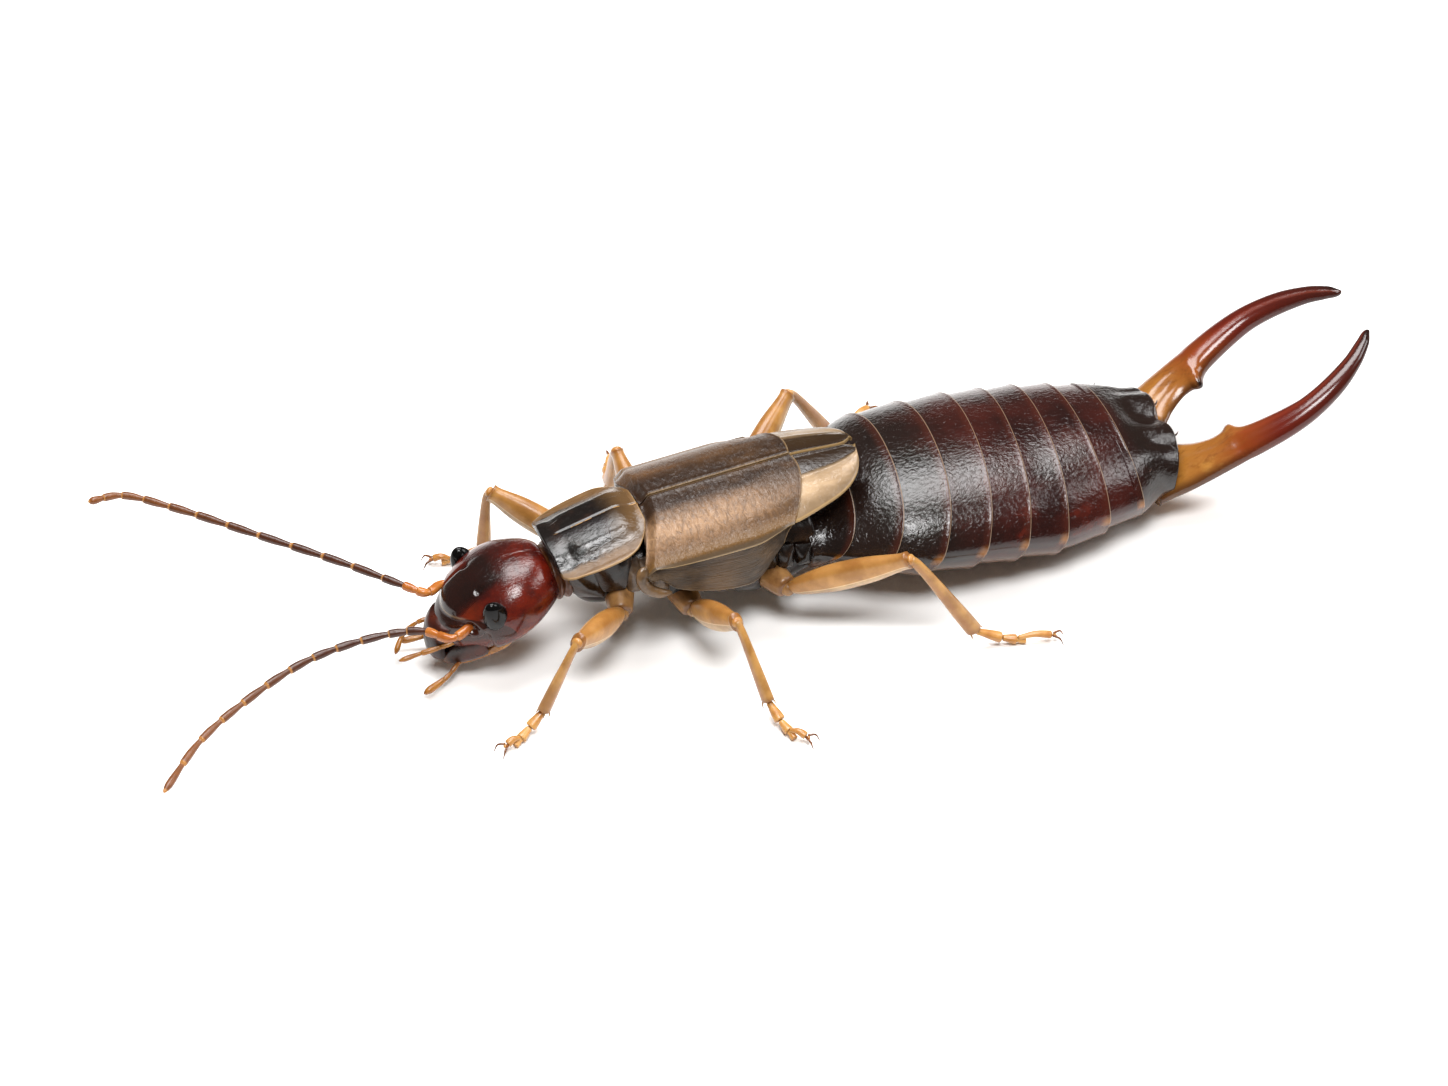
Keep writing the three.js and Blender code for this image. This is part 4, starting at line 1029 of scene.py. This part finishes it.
# How far the shoulder reaches forwards, how much it is rounded off and how far its roll is lowered
TEGMEN_REACHES = {"left": 0.5, "right": 0.4}
TEGMEN_CORNERS = {"left": 0.04, "right": 0.34}
ROLL_DROPS = {"left": 0.0, "right": 0.25}
TEGMEN_TOP_Z, TEGMEN_RISE = 2.62, 0.05
SHOULDER_Y, SHOULDER_DROP, FLAP_Y, SEAM_Y = 1.24, 0.46, 1.32, 0.012
FACE_STEP = 0.01
WING_REAR, WING_HALF_WIDTH, WING_DROP = 7.06, 1.14, 0.42
flap_bottom = profile((2.95, 1.9), (3.36, 1.57), (4.0, 1.32), (4.6, 1.25), (4.9, 1.33), (5.2, 1.7),
                      (5.45, 2.0))


def seam_z(x):
    return TEGMEN_TOP_Z + TEGMEN_RISE * (x - TEGMEN_FRONT)


def tegmen_face(t, v, reach, corner):
    """A place on the outer face: v is 0 at the seam, 0.5 at the shoulder and 1 at the flap's edge.

    The front edge reaches forwards of the seam, and is rounded off at the shoulder.
    """
    roof, flap = np.minimum(1, 2 * v), np.maximum(0, 2 * v - 1)
    front = TEGMEN_FRONT - 0.08 - (reach - 0.08) * roof**2 + corner * ease(roof, 0.6, 1.0) + 0.06 * flap
    rear = TEGMEN_REAR - 0.3 * roof**2 + 0.3 * roof * (1 - roof) - 0.26 * flap
    x = lerp(front, rear, t)
    shoulder_y = SHOULDER_Y * (1 - 0.1 * ease(t, 0.7, 1.0))
    shoulder_z = seam_z(x) - SHOULDER_DROP
    y = lerp(SEAM_Y, shoulder_y, roof) + (FLAP_Y - SHOULDER_Y) * flap
    z = lerp(seam_z(x) - SHOULDER_DROP * roof**3, np.minimum(flap_bottom(x), shoulder_z - 0.12), flap)
    tucked = 0.16 * fall(t, 0.0, 0.07) * (1 - flap)
    return np.stack([x, y, z - tucked], axis=-1)


def make_tegmen(name, hand):
    reach, corner = TEGMEN_REACHES[name], TEGMEN_CORNERS[name]

    def place(t, side, up):
        v = (1 - side) / 2
        face = tegmen_face(t, v, reach, corner)
        along = (tegmen_face(t, np.minimum(1, v + FACE_STEP), reach, corner)
                 - tegmen_face(t, np.maximum(0, v - FACE_STEP), reach, corner))
        inward = unit(np.stack([np.zeros_like(t), -along[..., 2], along[..., 1]], axis=-1))
        inward = inward * -np.sign(inward[..., 2:] + TINY)
        lip = 0.09 * ease(v, 0.46, FOLD - 0.02) * fall(v, FOLD - 0.012, FOLD + 0.012)
        dip = -0.07 * ease(v, FOLD - 0.012, FOLD + 0.012) * fall(v, FOLD, 0.95)
        relief = 0.02 * hump(v, 0.02, 0.02) + (lip + dip) * ease(t, 0, 0.1) - 0.02 * hump(v, 0.44, 0.04)
        relief = relief * ease(1 - t, 0, 0.02) + 0.012 * hump(t, 0.99, 0.01)
        relief = relief + 0.015 * hump(v, 0.985, 0.012) + 0.09 * hump(t, 0.02, 0.04) * ease(v, 0.46, 0.62)
        outer = 0.5 + 0.5 * np.sign(up) * np.abs(up) ** 0.2
        depth = PLATE_THICK * (1 - outer) * rounded(t, 0.012, 0.012)
        at = face + inward * (depth - relief * outer)[..., None]
        across = np.where(v < 0.5, v * 2.6, (1 - v) * 1.8)
        edge = np.minimum(across, np.minimum(t, 1 - t) * 2.6)
        return at[..., 0], hand * at[..., 1], at[..., 2], t, v, edge

    shape = Shape().surface(*net(cosine_spacing(120), 320, place))
    roll = [(x + ROLL_REACH - reach, hand * y, z - ROLL_DROPS[name]) for x, y, z in TEGMEN_ROLL]
    limb(shape, roll, (0.3, hand, 0.6), lambda t: 0.17 * rounded(t, 0.25, 0.4),
         lambda t: lerp(0.26, 0.16, t) * rounded(t, 0.25, 0.4), 50, 32, 2.0, 1)
    shape.make(f"tegmen_case_{name}", [TEGMEN, ROLLED_RIM], "tegmen", f"tegmen_{name}")


wing_outline = profile((5.3, 1.0), (5.64, 1.0), (6.2, 0.88), (6.6, 0.74), (6.86, 0.56), (7.0, 0.34),
                       (7.06, 0.06))


def make_wing(name, hand):
    def place(t, side, up):
        q = (1 - side) / 2
        x = lerp(TEGMEN_REAR - 0.55, WING_REAR - 0.05 * (1 - q) ** 4, t)
        outer = WING_HALF_WIDTH * wing_outline(x)
        inner = SEAM_Y + 0.1 * ease(x, 6.75, WING_REAR) ** 2
        y = lerp(np.minimum(inner, outer), outer, q)
        top = seam_z(x) - WING_DROP * (y / WING_HALF_WIDTH) ** 2 - 0.12 * ease(x, 5.7, WING_REAR) - 0.03
        top = top + 0.02 * hump(q, 0.5, 0.05) + 0.025 * hump(q, 0.03, 0.03)
        thick = 0.1 * rounded(t, 0.02, 0.02)
        edge = np.minimum(np.minimum(q, 1 - q) * outer, (1 - t) * 1.6)
        return x, hand * y, top - 0.5 * thick * (1 - np.sign(up) * np.abs(up) ** 0.4), t, q, edge

    tip = Shape().surface(*net(cosine_spacing(110), 180, place))
    tip.make(f"wing_tip_{name}", [WING], "wing", f"wing_{name}")


# Abdomen: overlapping rings whose rear edges sweep forwards down the sides

ring_half_width = profile((6.0, 1.12), (6.6, 1.42), (7.4, 1.83), (8.4, 1.93), (10.2, 1.93), (11.1, 1.73),
                          (11.9, 1.5), (12.45, 1.24))
ring_half_height = profile((6.0, 0.54), (6.6, 0.64), (7.1, 0.82), (7.6, 0.95), (8.4, 1.01), (10.2, 1.03),
                           (11.1, 0.95), (11.9, 0.81), (12.6, 0.6))
ring_middle = profile((6.0, 1.26), (7.4, 1.29), (9.1, 1.17), (10.2, 1.02), (11.1, 1.0), (12.6, 0.94))
RING_REARS = (6.86, 7.69, 8.53, 9.27, 9.95, 10.56, 11.19, 11.79)
RING_SWEEPS = (0.5, 0.5, 0.46, 0.35, 0.27, 0.2, 0.05, -0.05)
RING_SKEWS = (0.1, 0.17, 0.19, 0.23, 0.23, 0.16, 0.05, 0.02)
RING_OVERLAP = 0.14
ABDOMEN_FRONT = 5.9
RING_LIP = 0.06
# The share of a ring's length where its rim turns inwards, and how far the belly stays off the floor
RIM_SHARE = 0.95
FLOOR_CLEAR = 0.004


def ring_rear(i, side, up):
    """The x of a ring's rear edge, swept forwards below and skewed a little as the body bends."""
    return RING_REARS[i] + RING_SKEWS[i] * side - RING_SWEEPS[i] * clamp(1 - up, 0, 1.6) ** 1.2


def make_ring(i):
    def place(t, side, up):
        share = clamp(t / RIM_SHARE)
        front = ring_rear(i - 1, side, up) - RING_OVERLAP if i else np.full_like(t, ABDOMEN_FRONT)
        x = lerp(front, ring_rear(i, side, up), share)
        turn = clamp((t - RIM_SHARE) / (1 - RIM_SHARE))
        lift = RING_LIP * (share**1.6 - 0.62) + 0.012 * hump(share, 1.0, 0.03) - 0.08 * turn**0.7
        bend = 1 + 0.025 * hump(up, 0.08, 0.2)
        x = x + 0.01 * np.sin(np.pi * turn)
        z = ring_middle(x) + up * (ring_half_height(x) + lift)
        y = side * (ring_half_width(x) * bend + lift)
        return x, y, np.maximum(z, FLOOR_CLEAR), share, side, up

    rings = np.concatenate([np.linspace(0, RIM_SHARE, 34), np.linspace(RIM_SHARE, 1, 11)[1:]])
    node = f"abdomen_{i + 1}"
    Shape().surface(*net(rings, 180, place)).make(f"{node}_ring", [ABDOMEN], "abdomen", node)


# The small hooks of the last ring: x, distance from the middle and z
END_HOOKS = ((12.9, 0.42, 1.3), (12.86, 0.6, 0.98), (12.06, 1.2, 1.36))


def make_last_ring():
    def place(t, side, up):
        s, u = squared(side, up, 2.3)
        front = ring_rear(len(RING_REARS) - 1, side, up) - RING_OVERLAP
        rear = 12.62 + 0.26 * up * ease(up, -0.6, 1.0) - 0.14 * hump(side, 0, 0.22) * ease(up, 0.2, 0.8)
        x = lerp(front, rear, np.sin(np.pi / 2 * t))
        end = np.sqrt(clamp(1 - ease(t, 0.72, 1.04) ** 2))
        wide = ring_half_width(x) * (0.3 + 0.7 * end) - 0.02
        high = ring_half_height(x) * (0.25 + 0.75 * end) - 0.02
        y, z = s * wide, ring_middle(x) + u * high
        top = ease(up, 0.1, 0.6)
        knobs = 0.09 * hump(x, 12.5, 0.26) * hump(np.abs(y), 0.48, 0.26)
        knobs = knobs + 0.08 * hump(x, 12.3, 0.3) * hump(np.abs(y), 0.98, 0.22)
        folds = 0.08 * hump(y, 0, 0.24) * ease(x, 11.9, 12.5)
        folds = folds + 0.03 * hump(np.abs(y), 0.74, 0.1) * ease(x, 12.1, 12.5)
        return x, y, np.maximum(z + (knobs - folds) * top, FLOOR_CLEAR), 0.5 * t, side, up

    shape = Shape().surface(*net(even_spacing(110), 260, place))
    for _, hand in SIDES:
        for x, y, z in END_HOOKS:
            root = np.array([x - 0.1, hand * y, z - 0.04])
            bend, tip = root + (0.1, 0.02 * hand, 0.06), root + (0.13, 0.03 * hand, 0.13)
            spike(shape, [root, bend, tip], 0.06, 1, 10, 12)
    shape.make("abdomen_end_ring", [ABDOMEN, DARK_TIP], "abdomen", "abdomen_end")


# Forceps

# The plane of the forceps goes through this x and z and rises backwards; the arms lie in it
FORCEPS_RISE = math.radians(27.5)
FORCEPS_X, FORCEPS_Z = 12.4, 0.6
ARM_START_X, ARM_TIP_X = 12.32, 16.42
SLOPE_STEP = 0.15
arm_inner = profile((12.3, 0.3), (12.8, 0.27), (13.0, 0.25), (13.1, 0.34), (13.24, 0.46), (13.5, 0.6),
                    (13.68, 0.62), (13.77, 0.56), (13.84, 0.58), (13.9, 0.72), (14.0, 0.83), (14.25, 0.93),
                    (14.7, 1.03), (15.05, 1.06), (15.5, 0.98), (15.95, 0.81), (16.22, 0.63), (16.42, 0.5))
arm_outer = profile((12.3, 1.2), (12.9, 1.34), (13.5, 1.43), (14.1, 1.52), (14.6, 1.57), (15.0, 1.54),
                    (15.5, 1.38), (15.95, 1.1), (16.22, 0.84), (16.42, 0.62))
arm_depth = profile((12.3, 0.5), (13.5, 0.46), (14.6, 0.42), (15.5, 0.34), (16.1, 0.22), (16.42, 0.14))


def in_forceps(x, y, above):
    """Places in the plane of the forceps, by x, y and the height above the plane."""
    rise = (x - FORCEPS_X) * math.tan(FORCEPS_RISE)
    return x - above * math.sin(FORCEPS_RISE), y, FORCEPS_Z + rise + above * math.cos(FORCEPS_RISE)


def make_forceps(name, hand):
    def place(t, side, up):
        x = lerp(ARM_START_X, ARM_TIP_X, t)
        middle, width = (arm_outer(x) + arm_inner(x)) / 2, arm_outer(x) - arm_inner(x)
        slope = (arm_outer(x + SLOPE_STEP) - arm_outer(x - SLOPE_STEP)) / (2 * SLOPE_STEP)
        lean = slope * ease(x, 13.7, 14.4)
        end = rounded(t, 0.0, 0.03)
        across = side * 0.5 * width * end
        base = fall(x, 13.3, 14.1)
        deep = 0.5 * arm_depth(x) * up * end
        deep = deep * (1 - 0.55 * base * clamp(-side) ** 1.5)
        deep = deep - 0.06 * base * hump(side, -0.25, 0.3) * clamp(up)
        root = ease(t, 0.0, 0.2)
        slide = across * lean / np.hypot(1, lean)
        px, py, pz = in_forceps(x - slide, middle + across / np.hypot(1, lean * 0.5), deep * root)
        return px, hand * py, pz + deep * (1 - root) * 0.9

    arm = Shape().surface(*net(even_spacing(300), 72, place))
    arm.make(f"forceps_arm_{name}", [FORCEPS], "forceps", f"forceps_{name}")


# Legs: the places of the joints from the body out to the claws

LEGS = {
    "fore_left": [(2.62, -0.4, 1.16), (2.46, -0.95, 1.0), (1.29, -2.0, 1.61), (0.64, -2.06, 0.34),
                  (0.35, -2.17, 0.15), (0.12, -2.33, 0.1), (-0.14, -2.4, 0.13), (-0.27, -2.45, 0)],
    "fore_right": [(2.62, 0.4, 1.16), (2.46, 0.95, 1.0), (1.2, 2.0, 1.74), (1.13, 2.2, 0.38),
                   (0.84, 2.29, 0.16), (0.58, 2.36, 0.1), (0.3, 2.48, 0.13), (0.18, 2.5, 0)],
    "mid_left": [(3.62, -0.5, 0.98), (3.72, -1.1, 0.82), (3.94, -2.52, 1.64), (4.24, -3.22, 0.34),
                 (4.33, -3.55, 0.15), (4.39, -3.81, 0.1), (4.6, -4.04, 0.13), (4.7, -4.15, 0)],
    "mid_right": [(3.62, 0.5, 0.98), (3.72, 1.1, 0.82), (3.64, 2.35, 1.62), (3.75, 3.0, 0.34),
                  (3.85, 3.38, 0.15), (3.93, 3.63, 0.1), (4.1, 3.88, 0.13), (4.18, 4.0, 0)],
    "hind_left": [(5.15, -0.7, 0.95), (5.36, -1.3, 0.93), (7.04, -2.6, 2.1), (8.15, -2.84, 0.34),
                  (8.6, -2.98, 0.15), (8.84, -3.06, 0.1), (9.44, -3.2, 0.13), (9.6, -3.27, 0)],
    "hind_right": [(5.15, 0.7, 0.95), (5.36, 1.3, 0.93), (6.93, 2.66, 1.64), (7.75, 2.95, 0.34),
                   (8.15, 3.12, 0.15), (8.36, 3.24, 0.1), (8.76, 3.46, 0.13), (8.9, 3.54, 0)],
}
FEMUR_DEPTHS = {"fore": 0.56, "mid": 0.52, "hind": 0.54}
SHIN_ENDS = {"fore": (0.15, 0.25), "mid": (0.16, 0.24), "hind": (0.17, 0.28)}
COXA_THICK = 0.5
femur_swell = profile((0, 0.42), (0.1, 0.68), (0.36, 1.0), (0.66, 0.95), (0.9, 0.66), (0.955, 0.62),
                      (1, 0.68))


def make_leg(name, joints):
    hip, trochanter, knee, ankle, first, lobe, toe, claw = (np.array(joint) for joint in joints)
    pair = name.split("_")[0]
    across = unit(np.cross(knee - trochanter, ankle - knee))
    thigh, shin_line, cone = unit(knee - trochanter), unit(ankle - knee), unit(trochanter - hip)
    axes = (thigh, across, np.cross(thigh, across))
    depth = FEMUR_DEPTHS[pair]
    thin, thick = SHIN_ENDS[pair]

    def coxa_size(t):
        return COXA_THICK * (1.08 - 0.34 * t**2) * rounded(t, 0, 0.12)

    def femur_size(t):
        return depth * femur_swell(t) * rounded(t, 0.04, 0.014)

    def shin_size(t):
        return lerp(thin, thick, ease(t, 0, 1.05)) * rounded(t, 0, 0.02)

    coxa = Shape()
    limb(coxa, [hip - cone * 0.1, trochanter + cone * 0.02], across, coxa_size, coxa_size, 40, 40)
    ball(coxa, trochanter - thigh * 0.01, (0.14, 0.13, 0.13), axes, 20, 28)
    coxa.make(f"{name}_coxa_cone", [COXA], "amber", f"{name}_coxa")

    femur = Shape()
    limb(femur, [trochanter, knee], across, lambda t: 0.7 * femur_size(t), femur_size, 90, 48, 2.2)
    femur.make(f"{name}_femur_shaft", [FEMUR], "amber", f"{name}_femur")

    shin = Shape()
    ball(shin, knee + thigh * 0.015, (0.06, 0.1, 0.09), axes, 20, 28, 1)
    bend = knee + shin_line * 0.14 + thigh * 0.04
    limb(shin, [knee, bend, ankle], across, lambda t: 0.85 * shin_size(t), shin_size, 60, 32, 2.6)
    for turn in (-1.0, -0.35, 0.35, 1.0):
        out = unit(across * math.sin(turn * 1.9) + np.cross(shin_line, across) * math.cos(turn * 1.9))
        root = ankle + out * thick * 0.36 - shin_line * 0.04
        bend, tip = root + shin_line * 0.06 + out * 0.03, root + shin_line * 0.12 + out * 0.035
        spike(shin, [root, bend, tip], 0.035, 2)
    shin.make(f"{name}_tibia_shaft", [SHIN, AMBER_CUTICLE, BRISTLE], "amber", f"{name}_tibia")
    make_foot(name, across, (ankle, first, lobe, toe, claw))


def make_foot(name, across, joints):
    ankle, first, lobe, toe, claw = joints
    foot = Shape()

    def segment(start, end, base, tip, lift=0.0):
        def size(t):
            return lerp(base, tip, ease(t, 0, 0.9)) * rounded(t, 0.1, 0.08)

        middle = (start + end) / 2 + (0, 0, lift)
        limb(foot, [start, middle, end], across, size, lambda t: 0.85 * size(t), 30, 24)

    segment(ankle, first, 0.12, 0.2)
    segment(first, lobe, 0.12, 0.18)
    down = np.array([0, 0, -1.0])
    onwards = unit(lobe - first)
    sole = lobe + onwards * 0.16
    segment(lobe - onwards * 0.05, sole * (1, 1, 0) + (0, 0, 0.06), 0.1, 0.12)
    segment(lobe - down * 0.03, toe, 0.09, 0.14, 0.05)
    flat = unit((claw - toe) * (1, 1, 0))
    flank = np.array([-flat[1], flat[0], 0])
    for _, hand in SIDES:
        root = toe + flat * 0.01 + flank * 0.03 * hand
        bend = toe + flat * 0.12 + flank * 0.1 * hand
        tip = (toe + flat * 0.19 + flank * 0.12 * hand) * (1, 1, 0) + (0, 0, 0.008)
        spike(foot, [root, bend, tip], 0.05, 1, 10, 16, 0.25)
    ball(foot, toe + flat * 0.03 + down * 0.02, (0.04, 0.04, 0.03), (flat, flank, down), 12, 16)
    foot.make(f"{name}_tarsus_segments", [AMBER_CUTICLE, DARK_CLAW], "amber", f"{name}_tarsus")


make_head()
make_eyes()
make_feelers()
make_mouth()
make_chest()
make_pronotum()
for name, hand in SIDES:
    make_tegmen(name, hand)
    make_wing(name, hand)
for i in range(len(RING_REARS)):
    make_ring(i)
make_last_ring()
for name, hand in SIDES:
    make_forceps(name, hand)
for name, joints in LEGS.items():
    make_leg(name, joints)


# Floor, light and camera

FLOOR_SIDE = 1.2
CAMERA_TURN, CAMERA_RISE = math.radians(-21.4), math.radians(41.3)
CAMERA_AIM = np.array([4.544, -0.393, 1.470])
CAMERA_DISTANCE = 136.35
CAMERA_LENS = 200.0
CAMERA_CLIP = (0.001, 10.0)
WORLD_COLOUR, WORLD_STRENGTH = (1.0, 0.9, 0.8, 1), 0.18
# Each light's turn and rise in degrees, its distance and size in millimetres, and its power
LIGHTS = {
    "overhead": (165, 74, 90, (66, 44), 0.12),
    "front": (-12, 66, 90, (34, 26), 0.07),
    "right": (75, 42, 90, (40, 30), 0.03),
}


def direction(turn, rise):
    """Away from the animal, turned round it from its left and raised above the floor, in radians."""
    return np.array([math.sin(turn) * math.cos(rise), -math.cos(turn) * math.cos(rise), math.sin(rise)])


def make_floor():
    half = FLOOR_SIDE / 2
    mesh = bpy.data.meshes.new("floor")
    corners = [(-half, -half, 0), (half, -half, 0), (half, half, 0), (-half, half, 0)]
    mesh.from_pydata(corners, [], [(0, 1, 2, 3)])
    f = Finish("floor_paper", Specular_IOR_Level=0.2)
    tone = f.mix(f.noise(0.02), "#f7f6f5", "#fbfbfa")
    mesh.materials.append(f.done(tone, 0.6))
    floor = bpy.data.objects.new("floor", mesh)
    bpy.context.scene.collection.objects.link(floor)


def look_along(forward):
    return Vector(forward).to_track_quat("-Z", "Y").to_euler()


def make_light(name, turn, rise, distance, size, power):
    """A soft rectangular light that points at the animal."""
    lamp = bpy.data.lights.new(name, "AREA")
    lamp.shape, lamp.size, lamp.size_y = "RECTANGLE", size[0] * MM, size[1] * MM
    lamp.energy = power
    light = bpy.data.objects.new(name, lamp)
    back = direction(math.radians(turn), math.radians(rise))
    light.location = (CAMERA_AIM + OFFSET + back * distance) * MM
    light.rotation_euler = look_along(-back)
    bpy.context.scene.collection.objects.link(light)


def make_camera():
    camera = bpy.data.objects.new("camera", bpy.data.cameras.new("camera"))
    camera.data.lens = CAMERA_LENS
    camera.data.clip_start, camera.data.clip_end = CAMERA_CLIP
    back = direction(CAMERA_TURN, CAMERA_RISE)
    camera.location = (CAMERA_AIM + OFFSET + back * CAMERA_DISTANCE) * MM
    camera.rotation_euler = look_along(-back)
    bpy.context.scene.collection.objects.link(camera)
    bpy.context.scene.camera = camera


def make_world():
    world = bpy.data.worlds.new("studio")
    world.use_nodes = True
    background = world.node_tree.nodes["Background"]
    background.inputs["Color"].default_value = WORLD_COLOUR
    background.inputs["Strength"].default_value = WORLD_STRENGTH
    bpy.context.scene.world = world
    bpy.context.scene.view_settings.view_transform = "Standard"


make_floor()
for name, settings in LIGHTS.items():
    make_light(name, *settings)
make_camera()
make_world()
